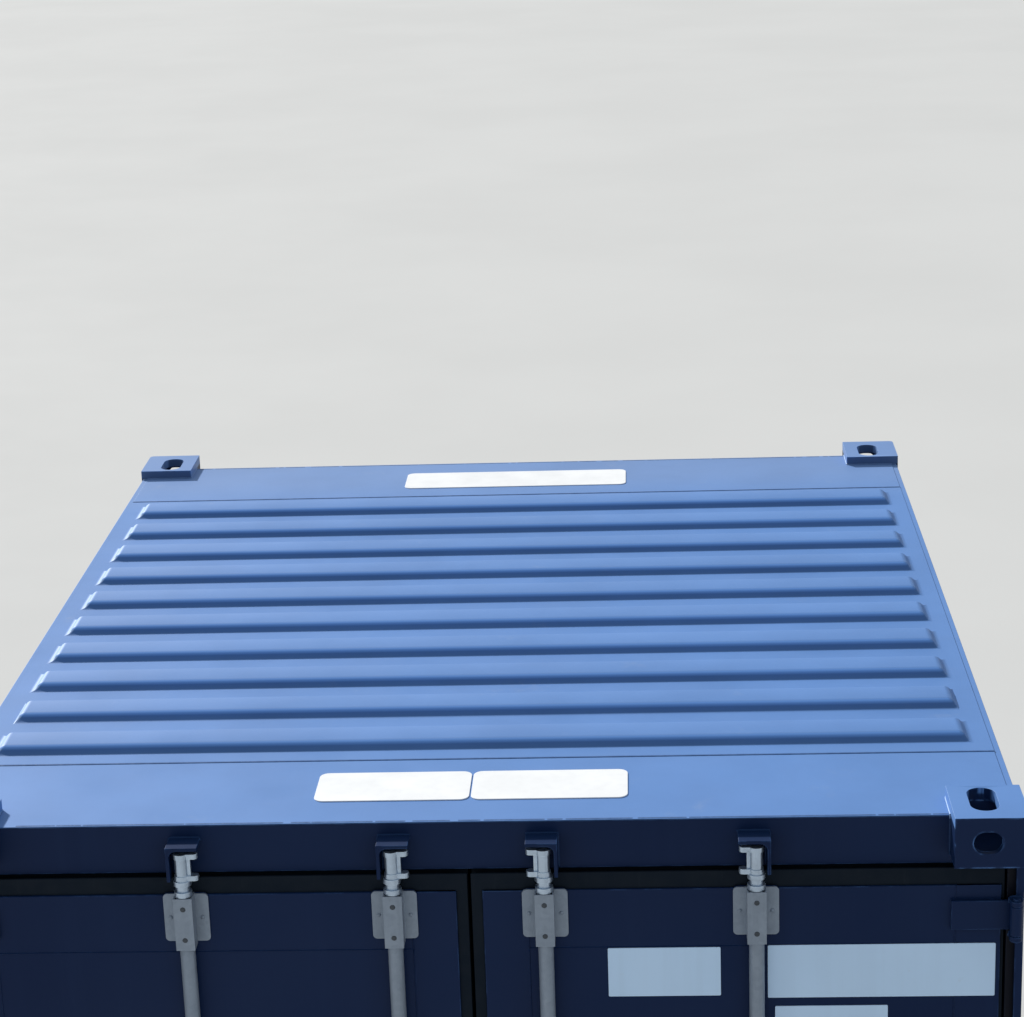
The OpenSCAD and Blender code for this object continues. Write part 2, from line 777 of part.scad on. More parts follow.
// Catch that a right hand handle lies in: a base plate and a ledge with a turned-up lip
module handle_catch() {
    front = door_y(leaf_recess);
    ledge_top = -handle_height / 2 - catch_gap;
    plate_half = handle_height / 2 + catch_gap + 2 * catch_wall;
    ledge_front = door_y(bar_from_face) - handle_thick - catch_wall;
    translate([catch_from_bar - catch_width / 2, 0, 0]) {
        block([0, front - catch_wall, -plate_half], [catch_width, front, plate_half]);
        block([0, ledge_front, ledge_top - catch_wall], [catch_width, front - catch_wall, ledge_top]);
    }
}

// Right door's bar guides and handle catches
module bar_guides() {
    color(zinc) for (x = bar_x) translate([x, 0, 0]) {
        at_both_ends() translate([0, 0, leaf_top - guide_from_edge]) bar_guide(guide_height);
        for (z = [middle_guide_z, lower_guide_z]) translate([0, 0, z]) bar_guide(middle_guide_height);
        translate([0, 0, handle_z]) handle_catch();
    }
}

// Cam at the upper end of a right hand bar, above its collars
module cam() {
    cam_z = opening_top + keeper_from_edge;
    neck_radius = bar_radius - neck_step;
    guide_end = leaf_top - guide_from_edge + guide_height / 2 + strap_overrun;
    translate([0, 0, guide_end + lug_gap]) cylinder(h = collar_height, d = collar_diameter);
    translate([0, 0, guide_end]) cylinder(h = cam_z - guide_end + cam_height, r = neck_radius);
    translate([0, 0, cam_z - collar_height]) cylinder(h = collar_height, d = collar_diameter);
    for (z = [cam_z, cam_z + cam_height - horn_thick]) translate([0, 0, z]) linear_extrude(horn_thick) {
        panel([horn_width / 2 - horn_reach, -horn_width / 2], [0, horn_width / 2]);
        translate([horn_width / 2 - horn_reach, 0]) circle(horn_width / 2);
        circle(bar_radius);
    }
    translate([0, 0, cam_z]) linear_extrude(cam_height)
        panel([-bar_radius - cam_web, -horn_thick / 2], [0, horn_thick / 2]);
}

// Sleeve on a right hand bar, with the lug that the handle is pinned to
module handle_sleeve() {
    translate([0, 0, -sleeve_height / 2]) cylinder(h = sleeve_height, d = sleeve_diameter);
    block([0, 0, -handle_height / 2], [handle_lug, handle_thick, handle_height / 2]);
}

// Right hand locking bar
module locking_bar(x) {
    guide_end = leaf_top - guide_from_edge + guide_height / 2 + strap_overrun;
    color(zinc) translate([x, door_y(bar_from_face), 0]) {
        at_both_ends() cam();
        translate([0, 0, 2 * middle_z - guide_end]) cylinder(h = 2 * (guide_end - middle_z), r = bar_radius);
        translate([0, 0, handle_z]) handle_sleeve();
    }
}

// Right hand handle: a flat bar on the sleeve's lug, with a round grip end
module handle(x) {
    start = sleeve_diameter / 2 + handle_gap;
    end_radius = handle_height / 2;
    axis = door_y(bar_from_face);
    color(zinc) translate([x, 0, handle_z]) along_y(axis - handle_thick, axis) {
        panel([start, -end_radius], [handle_length - end_radius, end_radius]);
        translate([handle_length - end_radius, 0]) circle(end_radius);
    }
}

placed_fitting(false, false, true);  // top_fitting_door_left
placed_fitting(true, false, true);  // top_fitting_door_right
placed_fitting(false, true, true);  // top_fitting_front_left
placed_fitting(true, true, true);  // top_fitting_front_right
placed_fitting(false, false, false);  // bottom_fitting_door_left
placed_fitting(true, false, false);  // bottom_fitting_door_right
placed_fitting(false, true, false);  // bottom_fitting_front_left
placed_fitting(true, true, false);  // bottom_fitting_front_right
flip(x = true) door_post();  // door_post_left
door_post();  // door_post_right
flip(x = true) front_post();  // front_post_left
front_post();  // front_post_right
flip(x = true) top_rail_bar();  // top_rail_left
top_rail_bar();  // top_rail_right
flip(x = true) bottom_rail();  // bottom_rail_left
bottom_rail();  // bottom_rail_right
door_header();
door_sill();
front_header();
front_sill();
roof_panels();
roof_end_plates();
flip(x = true) side_wall();  // side_wall_left
side_wall();  // side_wall_right
front_wall();
floor_boards();  // floor
cross_members();
fork_pockets();
cam_keepers();
hinge_lugs();
flip(x = true) door_frame();  // door_frame_left
door_frame();  // door_frame_right
flip(x = true) door_panel();  // door_panel_left
door_panel();  // door_panel_right
flip(x = true) door_seal();  // door_seal_left
door_seal();  // door_seal_right
flip(x = true) hinge_blades();  // hinge_blades_left
hinge_blades();  // hinge_blades_right
flip(x = true) bar_guides();  // bar_guides_left
bar_guides();  // bar_guides_right
flip(x = true) locking_bar(outer_bar_x);  // bar_left_outer
flip(x = true) locking_bar(inner_bar_x);  // bar_left_inner
locking_bar(inner_bar_x);  // bar_right_inner
locking_bar(outer_bar_x);  // bar_right_outer
flip(x = true) handle(outer_bar_x);  // handle_left_outer
flip(x = true) handle(inner_bar_x);  // handle_left_inner
handle(inner_bar_x);  // handle_right_inner
handle(outer_bar_x);  // handle_right_outer
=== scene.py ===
import json
import math

import bmesh
import bpy
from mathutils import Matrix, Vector

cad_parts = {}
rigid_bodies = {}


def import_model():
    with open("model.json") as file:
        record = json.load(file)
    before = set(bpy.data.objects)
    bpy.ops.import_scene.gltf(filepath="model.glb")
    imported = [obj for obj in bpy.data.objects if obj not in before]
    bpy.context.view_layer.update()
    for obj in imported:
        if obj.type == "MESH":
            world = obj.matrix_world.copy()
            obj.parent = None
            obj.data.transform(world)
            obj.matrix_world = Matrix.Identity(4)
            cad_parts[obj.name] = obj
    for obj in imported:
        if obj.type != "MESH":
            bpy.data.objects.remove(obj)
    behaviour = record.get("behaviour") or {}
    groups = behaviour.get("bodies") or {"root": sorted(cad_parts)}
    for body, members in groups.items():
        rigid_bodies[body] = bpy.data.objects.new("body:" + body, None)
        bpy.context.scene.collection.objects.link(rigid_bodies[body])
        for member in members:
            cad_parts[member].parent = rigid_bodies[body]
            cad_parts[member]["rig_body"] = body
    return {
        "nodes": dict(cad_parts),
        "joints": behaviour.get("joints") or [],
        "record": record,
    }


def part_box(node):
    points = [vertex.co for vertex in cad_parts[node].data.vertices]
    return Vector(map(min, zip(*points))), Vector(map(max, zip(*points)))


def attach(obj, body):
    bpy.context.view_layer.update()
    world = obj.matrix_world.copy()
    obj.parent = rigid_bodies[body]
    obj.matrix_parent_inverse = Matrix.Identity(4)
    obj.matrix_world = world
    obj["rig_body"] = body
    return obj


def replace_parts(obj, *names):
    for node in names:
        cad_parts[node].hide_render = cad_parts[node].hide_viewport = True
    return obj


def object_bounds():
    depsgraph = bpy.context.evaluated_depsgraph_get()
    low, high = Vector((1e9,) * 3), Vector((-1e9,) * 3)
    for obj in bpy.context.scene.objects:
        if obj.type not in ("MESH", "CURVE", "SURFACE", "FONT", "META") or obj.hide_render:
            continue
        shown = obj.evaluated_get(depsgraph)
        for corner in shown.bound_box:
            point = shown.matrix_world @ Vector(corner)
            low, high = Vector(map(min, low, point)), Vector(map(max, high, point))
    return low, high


bl_info = {
    "name": "Freight Container",
    "version": (1, 0, 0),
    "blender": (4, 5, 0),
    "location": "3D View > Sidebar > Container",
    "description": "Finishes a ten foot freight container: paint, zinc, seals, floor, welds and bare plates",
    "category": "Object",
}

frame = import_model()
CAD_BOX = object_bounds()

X, Y, Z = 0, 1, 2
ROOF_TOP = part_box("roof_end_plates")[1].z
SIDE_FACE = CAD_BOX[1].x
SLOT_OF = {part["node"]: part["material_slot"] for part in frame["record"]["subparts"]}
BODY_OF = {node: piece["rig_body"] for node, piece in frame["nodes"].items()}
PAINT_SLOT = SLOT_OF["roof_panels"]
ZINC_SLOT = SLOT_OF["bar_guides_left"]

# The two sides with their signs along X, and the locking bars of a door
SIDES = {"left": -1, "right": 1}
BAR_PLACES = ("outer", "inner")

WALLS = ("side_wall_left", "side_wall_right", "front_wall")
BEAMS = ("door_header", "door_sill", "front_header", "front_sill")

# Nodes made of one bent sheet, with the axis that its rims face along, if all do
SHEETS = {
    "roof_panels": None,
    "side_wall_left": Z,
    "side_wall_right": Z,
    "front_wall": Z,
    "door_panel_left": X,
    "door_panel_right": X,
}

# Closeness at which two points or levels of the frame count as one, in metres
SAME_PLACE = 2e-5

# Turn between two faces up to which they count as one flat face, and from which their edge is the
# bend of a sheet, is the edge of a solid, or is drawn sharp
FLAT_TURN = math.radians(0.4)
BEND_TURN = math.radians(8)
EDGE_TURN = math.radians(28)
SHARP_TURN = math.radians(35)

# Height over the roof at which a rib's slope, painted in shade, starts to pale with painted light, and at
# which it is palest
SLOPE_PALES = 0.009
SLOPE_PALEST = 0.016

# Depth behind the front of the door posts from which painted shade darkens the recess
PAINTED_SHADE_DEPTH = 0.012


def colour_setting(name, description, default):
    """A colour that a user can set."""
    return bpy.props.FloatVectorProperty(
        name=name, description=description, default=default, subtype="COLOR", min=0, max=1)


def length_setting(name, description, default, least, most):
    """A length that a user can set, in metres."""
    return bpy.props.FloatProperty(
        name=name, description=description, default=default, min=least, max=most, unit="LENGTH")


def angle_setting(name, description, degrees):
    """An angle that a user can set, with its default given in degrees."""
    return bpy.props.FloatProperty(
        name=name, description=description, default=math.radians(degrees), subtype="ANGLE", unit="ROTATION")


class ContainerFinish(bpy.types.PropertyGroup):
    """Colours of the container's materials"""

    paint: colour_setting("Paint", "Paint of walls, doors and frame", (0.0032, 0.0138, 0.0555))
    paint_faded: colour_setting("Faded paint", "Paint dulled by rain and sun", (0.0075, 0.0225, 0.076))
    # Partly chalky paint and partly painted sunlight: lightens the roof and faces above it, and tints the
    # painted edge and slope highlights
    chalk_and_sunlight: colour_setting("Chalked roof", "Paint on faces that look up", (0.108, 0.245, 0.560))
    # Painted highlight: the sun's glint on the ribs' ends that face it
    painted_sun_glint: colour_setting("Roof glint", "Bleached paint on the ribs' sunny ends", (0.60, 0.78, 0.96))
    # Painted shade that darkens the recess of the door posts
    painted_shade: colour_setting("Grime", "Dark grime in the recess beside the doors", (0.0045, 0.0042, 0.0045))
    # Also serves as a painted sheen towards the roof's far end
    dust_and_sheen: colour_setting("Dust", "Fine dust on level faces and at the walls' foot", (0.42, 0.44, 0.46))
    zinc: colour_setting("Bright zinc", "Cams, collars and the seals' rivets", (0.42, 0.51, 0.62))
    dull_zinc: colour_setting("Dull zinc", "Locking bars, guides and handles", (0.238, 0.287, 0.355))
    # Near black, so that the straps' rivets paint the shade inside their holes: painted shade
    dark_steel: colour_setting("Dark steel", "Rivets in the guides' straps", (0.055, 0.066, 0.080))
    rubber: colour_setting("Rubber", "Door seals", (0.0070, 0.0125, 0.0215))
    rubber_dust: colour_setting("Dusty rubber", "Dusty patches on the seals", (0.020, 0.024, 0.022))
    plate: colour_setting("Plates", "Bare white plates on the roof", (0.88, 0.89, 0.90))
    # Plate white tinted blue to paint the skylit shade at the door end: painted shade
    door_plate: colour_setting("Door plates", "Bare plates on the right door", (0.56, 0.76, 1.0))
    plywood: colour_setting("Plywood", "Boards of the floor", (0.30, 0.165, 0.075))
    floor_scuffs: colour_setting("Floor scuffs", "Dark scuffs left by loads", (0.045, 0.038, 0.032))


class ContainerSizes(bpy.types.PropertyGroup):
    """Sizes of the small forms that finish the container"""

    edge_round: length_setting("Edge rounding", "Rounding of tubes, bars and castings", 0.0016, 0.0002, 0.004)
    sheet_bend: length_setting("Sheet bends", "Rounding where a sheet is bent", 0.006, 0.001, 0.010)
    rib_bend: length_setting("Rib bends", "Rounding of the ribs pressed into the roof", 0.011, 0.002, 0.014)
    board_round: length_setting("Board rounding", "Rounding of the floor's boards", 0.001, 0.0002, 0.003)
    strip_round: length_setting("Strip rounding", "Rounding of the seal strips", 0.0006, 0.0001, 0.001)
    plate_round: length_setting("Plate rounding", "Rounding of the plates' rims", 0.0005, 0.0001, 0.001)
    weld_radius: length_setting("Weld radius", "Radius of the weld beads on the frame", 0.0035, 0.001, 0.006)
    seam_radius: length_setting("Seam radius", "Radius of the sunk beads on the roof", 0.007, 0.003, 0.012)
    weld_step: length_setting("Weld step", "Distance from ring to ring along a bead", 0.010, 0.004, 0.03)
    rivet_width: length_setting("Rivet width", "Width of a rivet's head", 0.010, 0.004, 0.02)
    rivet_pitch: length_setting("Rivet pitch", "Distance between a strip's rivets", 0.15, 0.05, 0.4)
    strip_width: length_setting("Strip width", "Width of the strips that hold a seal", 0.030, 0.015, 0.05)
    screw_width: length_setting("Screw width", "Width of the floor's screw heads", 0.014, 0.006, 0.02)
    board_gap: length_setting("Board gap", "Gap between two boards of the floor", 0.003, 0.001, 0.01)
    plate_thickness: length_setting("Plate thickness", "Thickness of the bare plates", 0.0025, 0.0005, 0.004)


class ContainerStage(bpy.types.PropertyGroup):
    """Camera and light"""

    lens: bpy.props.FloatProperty(
        name="Lens", description="Focal length of the camera, in millimetres on a sensor 36 mm wide",
        default=89.98, min=20, max=300)
    camera_place: bpy.props.FloatVectorProperty(
        name="Camera place", description="Where the camera stands",
        default=(0.3953, -6.5849, 4.8753), subtype="TRANSLATION", unit="LENGTH")
    camera_pitch: angle_setting("Camera pitch", "How far the camera looks down", 17.10)
    camera_yaw: angle_setting("Camera yaw", "How far the camera is turned to the right of the +Y axis", -3.01)
    camera_roll: angle_setting("Camera roll", "How far the camera leans", -2.01)
    sun_height: angle_setting("Sun height", "Height of the main lamp above the horizon", 32)
    sun_side: angle_setting("Sun side", "Direction of the main lamp, turned from +Y towards -X", 38)
    sun_spread: angle_setting("Sun spread", "How wide the main lamp looks, which softens shadows", 4)
    sun_strength: bpy.props.FloatProperty(
        name="Sun strength", description="Strength of the main lamp",
        default=4.3, min=0, max=10)
    sun_colour: colour_setting("Sun colour", "Colour of the main lamp", (1.0, 0.975, 0.94))
    sky_strength: bpy.props.FloatProperty(
        name="Sky strength", description="Strength of the light from all round",
        default=0.50, min=0, max=2)
    sky_colour: colour_setting("Sky colour", "Colour of the light from all round", (0.86, 0.93, 1.0))
    floor_tone: colour_setting("Floor", "Colour of the floor under the container", (0.60, 0.60, 0.59))
    floor_reach: length_setting("Floor reach", "Distance from the middle to the floor's edge", 160, 10, 500)


def with_alpha(colour):
    """A colour's three parts, or its socket, as a colour socket takes it."""
    return colour if isinstance(colour, bpy.types.NodeSocket) else (*colour, 1)


def scaled(colour, factor):
    """A colour times a factor, held at white."""
    return tuple(min(1.0, factor * part) for part in colour)


def add_node(tree, kind, inputs=None, **settings):
    """A new node in a tree with its settings, and with values or links on its inputs."""
    made = tree.nodes.new(kind)
    for name, value in settings.items():
        setattr(made, name, value)
    for name, value in (inputs or {}).items():
        if isinstance(value, bpy.types.NodeSocket):
            tree.links.new(value, made.inputs[name])
        else:
            made.inputs[name].default_value = value
    return made


class Finish:
    """The node tree of one material, with short calls for what the finishes share."""

    def __init__(self, name):
        self.material = bpy.data.materials.new(name)
        self.material.use_nodes = True
        self.tree = self.material.node_tree
        self.shader = self.tree.nodes["Principled BSDF"]
        self.place = self.node("ShaderNodeTexCoord").outputs["Object"]

    def node(self, kind, inputs=None, **settings):
        """A new node of this material."""
        return add_node(self.tree, kind, inputs, **settings)

    def noise(self, scale, detail=2.0, roughness=0.5, stretch=None):
        """Cloudy noise from 0 to 1, over object coordinates that may be scaled along the three axes."""
        place = self.place
        if stretch:
            place = self.node("ShaderNodeMapping", {"Vector": place, "Scale": stretch}).outputs["Vector"]
        inputs = {"Vector": place, "Scale": scale, "Detail": detail, "Roughness": roughness}
        return self.node("ShaderNodeTexNoise", inputs).outputs["Fac"]

    def spangle(self, scale):
        """Cells of about one size with a random value for each, from 0 to 1."""
        cells = self.node("ShaderNodeTexVoronoi", {"Vector": self.place, "Scale": scale}).outputs["Color"]
        return self.node("ShaderNodeSeparateColor", {"Color": cells}).outputs["Red"]

    def between(self, value, low, high, to_low=0.0, to_high=1.0):
        """A value taken smoothly from one range to another."""
        inputs = {"Value": value, "From Min": low, "From Max": high, "To Min": to_low, "To Max": to_high}
        return self.node("ShaderNodeMapRange", inputs, interpolation_type="SMOOTHSTEP").outputs["Result"]

    def patches(self, low, high, *noise):
        """Noise turned into patches: 0 where it is under the low value and 1 over the high one."""
        return self.between(self.noise(*noise), low, high)

    def varied(self, least, most, *noise):
        """A value that wanders between two others."""
        return self.between(self.noise(*noise), 0.3, 0.7, least, most)

    def reckoned(self, operation, *values):
        """The outcome of one sum on values."""
        return self.node("ShaderNodeMath", dict(enumerate(values)), operation=operation).outputs[0]

    def times(self, *values):
        """Product of values."""
        product = values[0]
        for value in values[1:]:
            product = self.reckoned("MULTIPLY", product, value)
        return product

    def plus(self, first, second):
        """Sum of two values."""
        return self.reckoned("ADD", first, second)

    def facing(self, axis):
        """How far a face looks along an axis, from -1 to 1."""
        normal = self.node("ShaderNodeNewGeometry").outputs["Normal"]
        return self.node("ShaderNodeSeparateXYZ", {"Vector": normal}).outputs[axis]

    def coordinate(self, axis):
        """One of the three object coordinates."""
        return self.node("ShaderNodeSeparateXYZ", {"Vector": self.place}).outputs[axis]

    def edges(self, width):
        """1 on rounded edges and 0 on flat faces."""
        flat = self.node("ShaderNodeNewGeometry").outputs["Normal"]
        soft = self.node("ShaderNodeBevel", {"Radius": width}, samples=4).outputs["Normal"]
        likeness = self.node("ShaderNodeVectorMath", {0: flat, 1: soft}, operation="DOT_PRODUCT")
        return self.between(likeness.outputs["Value"], 0.99, 0.90)

    def coat(self, colour, tone, *shares):
        """A colour with another tone laid over it, by the product of some shares."""
        inputs = {0: self.times(*shares), 6: with_alpha(colour), 7: with_alpha(tone)}
        return self.node("ShaderNodeMix", inputs, data_type="RGBA").outputs[2]

    def bump(self, height, distance, after=None):
        """A height turned into a bump, on top of another bump if one is given."""
        inputs = {"Height": height, "Distance": distance, "Strength": 1.0}
        if after:
            inputs["Normal"] = after
        return self.node("ShaderNodeBump", inputs).outputs["Normal"]

    def close(self, colour, roughness, normal, **constants):
        """Links colour, roughness and normal to the shader and sets its plain values."""
        self.tree.links.new(colour, self.shader.inputs["Base Color"])
        self.tree.links.new(roughness, self.shader.inputs["Roughness"])
        self.tree.links.new(normal, self.shader.inputs["Normal"])
        for name, value in constants.items():
            self.shader.inputs[name.replace("_", " ")].default_value = value
        return self.material


def chalk_and_sunlight_shares(finish, up, chalk_and_sun_amount, paler):
    """How far the paint is lightened by chalking and by painted sunlight: on the roof's upper faces alone,
    and in all. Faces below the roof and those turned towards the door end get little, as painted shade.
    """
    height = finish.coordinate("Z")
    at_roof = finish.between(height, ROOF_TOP - 0.022, ROOF_TOP - 0.012, 0.10, 1.0)
    above_roof = finish.between(height, ROOF_TOP - 0.002, ROOF_TOP + 0.004)
    looks_up = finish.times(finish.between(up, 0.12, 0.42), at_roof)
    turned_from_doors = finish.between(finish.facing("Y"), -0.8, -0.4)
    far_from_doors = finish.between(finish.coordinate("Y"), -1.3, 0.0, 0.0, 0.4)
    stands_up = finish.times(above_roof, finish.plus(turned_from_doors, far_from_doors))
    share = finish.between(finish.plus(looks_up, stands_up), 0.0, 1.0)
    return looks_up, finish.plus(finish.times(share, chalk_and_sun_amount), paler)


def dusted_and_sheened(finish, look, colour, chalk_and_sun, upright):
    """A painted sheen at the roof's far end in a dusty tone, dusty specks on the chalky, sunlit faces, and a
    dusty foot of the walls.
    """
    # Painted sheen: the roof lightens towards its far end
    painted_far_sheen = finish.between(finish.coordinate("Y"), 0.9, 1.3)
    colour = finish.coat(colour, look.dust_and_sheen, painted_far_sheen, chalk_and_sun, 0.14)
    colour = finish.coat(colour, look.dust_and_sheen, finish.patches(0.60, 0.80, 5.5, 7, 0.7), chalk_and_sun, 0.16)
    foot = finish.between(finish.coordinate("Z"), 0.75, 0.0)
    return finish.coat(colour, look.dust_and_sheen, foot, upright, finish.noise(9, 5, 0.6, (1, 1, 0.35)), 0.16)


def painted_slope_light(finish, look, colour, sunny, shaded):
    """The ribs' slopes: a painted glint on those that face the sun, painted shade on those turned from it,
    and painted light on their upper edge.
    """
    colour = finish.coat(colour, look.painted_sun_glint, sunny, 0.40)
    colour = finish.coat(colour, look.paint, shaded, 0.32)
    upper = finish.between(finish.coordinate("Z"), ROOF_TOP + SLOPE_PALES, ROOF_TOP + SLOPE_PALEST)
    return finish.coat(colour, scaled(look.chalk_and_sunlight, 1.45), shaded, upper, 0.70)


def painted_recess_shade(finish, look, colour, depth):
    """Painted shade behind a depth at the door end, short of the container's side faces: it darkens the door
    posts' recess.
    """
    behind = finish.between(finish.coordinate("Y"), depth, depth + 0.006)
    at_doors = finish.between(finish.coordinate("Y"), -1.2, -1.3)
    aside = finish.reckoned("ABSOLUTE", finish.coordinate("X"))
    inside = finish.between(aside, SIDE_FACE - 0.010, SIDE_FACE - 0.014)
    return finish.coat(colour, look.painted_shade, behind, at_doors, inside, 0.85)


def paint_finish(look, name, chalk_and_sun_amount=1.0, edge_wear_and_light=0.30, rim=0.004, paler=0.0, recess=None, weld=False):
    """Satin paint: dark on upright faces, lightened on the roof and above it by chalking and painted
    sunlight, dulled by streaks.

    The edge setting says how far edges are scuffed and lit by a painted highlight, and rim how wide. Paler
    lifts all of it towards the chalky, sunlit tone.
    Recess is a depth behind which painted shade darkens the door posts. Weld adds a weld bead's rough skin.
    """
    finish = Finish(name)
    up = finish.facing("Z")
    upright = finish.between(up, 0.75, 0.2)
    looks_up, chalk_and_sun = chalk_and_sunlight_shares(finish, up, chalk_and_sun_amount, paler)
    colour = finish.coat(look.paint, look.paint_faded, finish.patches(0.3, 0.7, 0.9, 3), 0.6)
    streaks = finish.patches(0.50, 0.78, 1.0, 5, 0.6, (16, 16, 0.55))
    colour = finish.coat(colour, look.paint_faded, streaks, upright, 0.35)
    uneven = finish.between(finish.noise(2.3, 6, 0.62), 0.25, 0.75, 0.86, 1.0)
    # Chalking and painted sunlight on the roof and the faces above it
    colour = finish.coat(colour, look.chalk_and_sunlight, chalk_and_sun, uneven)
    colour = dusted_and_sheened(finish, look, colour, chalk_and_sun, upright)
    # Edges lightened, partly as scuffing and partly as a painted highlight
    rubbed_and_highlit = finish.patches(0.42, 0.62, 24, 4, 0.6)
    colour = finish.coat(colour, look.chalk_and_sunlight, finish.edges(rim), rubbed_and_highlit, edge_wear_and_light)
    # Painted glint on slopes that face the sun, painted shade on slopes turned from it
    sunny = finish.times(finish.between(finish.facing("X"), -0.20, -0.45), chalk_and_sun, looks_up)
    shaded = finish.times(finish.between(finish.facing("Y"), -0.15, -0.45), finish.between(up, 0.05, 0.30))
    colour = painted_slope_light(finish, look, colour, sunny, shaded)
    # Painted shade in the recess of the door posts
    if recess is not None:
        colour = painted_recess_shade(finish, look, colour, recess)

    gloss = finish.between(finish.noise(6.0, 5, 0.6), 0.25, 0.75, 0.40, 0.52)
    roughness = finish.plus(gloss, finish.times(chalk_and_sun, 0.08))
    skin = finish.bump(finish.noise(2.6, 1), 0.0035)
    skin = finish.bump(finish.noise(420, 2), 0.00012, skin)
    if weld:
        skin = finish.bump(finish.noise(160, 3, 0.6), 0.0012, skin)
    sheen = finish.between(chalk_and_sun, 0.0, 1.0, 0.12, 0.34)
    sheen = finish.times(sheen, finish.between(shaded, 0.0, 1.0, 1.0, 0.35))
    finish.tree.links.new(sheen, finish.shader.inputs["Specular IOR Level"])
    return finish.close(colour, roughness, skin)


def zinc_finish(name, base, metallic, smooth, edge_highlight=1.22):
    """Dipped zinc or dark steel: a fine spangle, runs, dirt, and edges lifted to a lighter tone, partly as
    scuffing and partly as a painted highlight.
    """
    finish = Finish(name)
    colour = finish.coat(base, scaled(base, 1.22), finish.spangle(95), 0.45)
    runs = finish.patches(0.45, 0.75, 1.0, 5, 0.6, (30, 30, 2.2))
    colour = finish.coat(colour, scaled(base, 0.72), runs, 0.40)
    colour = finish.coat(colour, scaled(base, 0.45), finish.patches(0.55, 0.80, 14, 6, 0.65), 0.35)
    # Edges lightened, partly as scuffing and partly as a painted highlight
    worn_and_highlit = finish.patches(0.35, 0.6, 40, 3)
    colour = finish.coat(colour, scaled(base, edge_highlight), finish.edges(0.003), worn_and_highlit, 0.60)
    roughness = finish.varied(smooth, smooth + 0.15, 20, 4)
    skin = finish.bump(finish.noise(55, 4, 0.6), 0.0006)
    skin = finish.bump(finish.noise(600, 2), 0.00008, skin)
    return finish.close(colour, roughness, skin, Metallic=metallic)


def rubber_finish(look, name):
    """Door seal rubber, a little dusty and scuffed."""
    finish = Finish(name)
    colour = finish.coat(look.rubber, look.rubber_dust, finish.patches(0.45, 0.75, 8, 6, 0.65), 0.08)
    scuffs = finish.patches(0.58, 0.72, 1.0, 4, 0.6, (60, 60, 9))
    colour = finish.coat(colour, look.dust_and_sheen, scuffs, 0.006)
    grain = finish.bump(finish.noise(380, 3), 0.0002)
    return finish.close(colour, finish.varied(0.52, 0.74, 25, 3), grain, Specular_IOR_Level=0.08)


def plate_finish(look, name, white):
    """Bare plate: clean face with a slightly uneven film."""
    finish = Finish(name)
    duller = scaled(white, 0.90)
    colour = finish.coat(white, duller, finish.patches(0.3, 0.7, 3.2, 5, 0.6), 0.45)
    bands = finish.patches(0.42, 0.66, 1.0, 3, 0.5, (42, 42, 1.5))
    colour = finish.coat(colour, duller, bands, 0.30)
    colour = finish.coat(colour, look.dust_and_sheen, finish.patches(0.62, 0.80, 18, 6, 0.7), 0.22)
    film = finish.bump(finish.noise(11, 3), 0.0007)
    return finish.close(colour, finish.varied(0.36, 0.52, 12, 4), film, Specular_IOR_Level=0.45)


def plywood_finish(look, name):
    """Varnished plywood with grain along the container, scuffed by loads."""
    finish = Finish(name)
    grain = finish.noise(1.0, 8, 0.68, (34, 1.6, 34))
    colour = finish.coat(look.plywood, scaled(look.plywood, 0.42), finish.between(grain, 0.35, 0.70))
    colour = finish.coat(colour, scaled(look.plywood, 1.45), finish.patches(0.35, 0.65, 1.7, 4), 0.45)
    scuffs = finish.patches(0.56, 0.74, 1.0, 6, 0.7, (9, 0.9, 9))
    colour = finish.coat(colour, look.floor_scuffs, scuffs, 0.55)
    colour = finish.coat(colour, look.dust_and_sheen, finish.patches(0.5, 0.8, 4.2, 6, 0.65), 0.30)
    roughness = finish.between(grain, 0.3, 0.7, 0.42, 0.66)
    fibres = finish.bump(grain, 0.0006)
    fibres = finish.bump(finish.noise(1.0, 3, 0.6, (320, 22, 320)), 0.0003, fibres)
    return finish.close(colour, roughness, fibres)


def ground_finish(name, tone):
    """Pale matt floor with hardly visible clouds."""
    finish = Finish(name)
    colour = finish.coat(tone, scaled(tone, 0.965), finish.patches(0.3, 0.7, 0.35, 5))
    skin = finish.bump(finish.noise(60, 3), 0.0005)
    return finish.close(colour, finish.varied(0.80, 0.90, 2.0, 3), skin, Specular_IOR_Level=0.1)


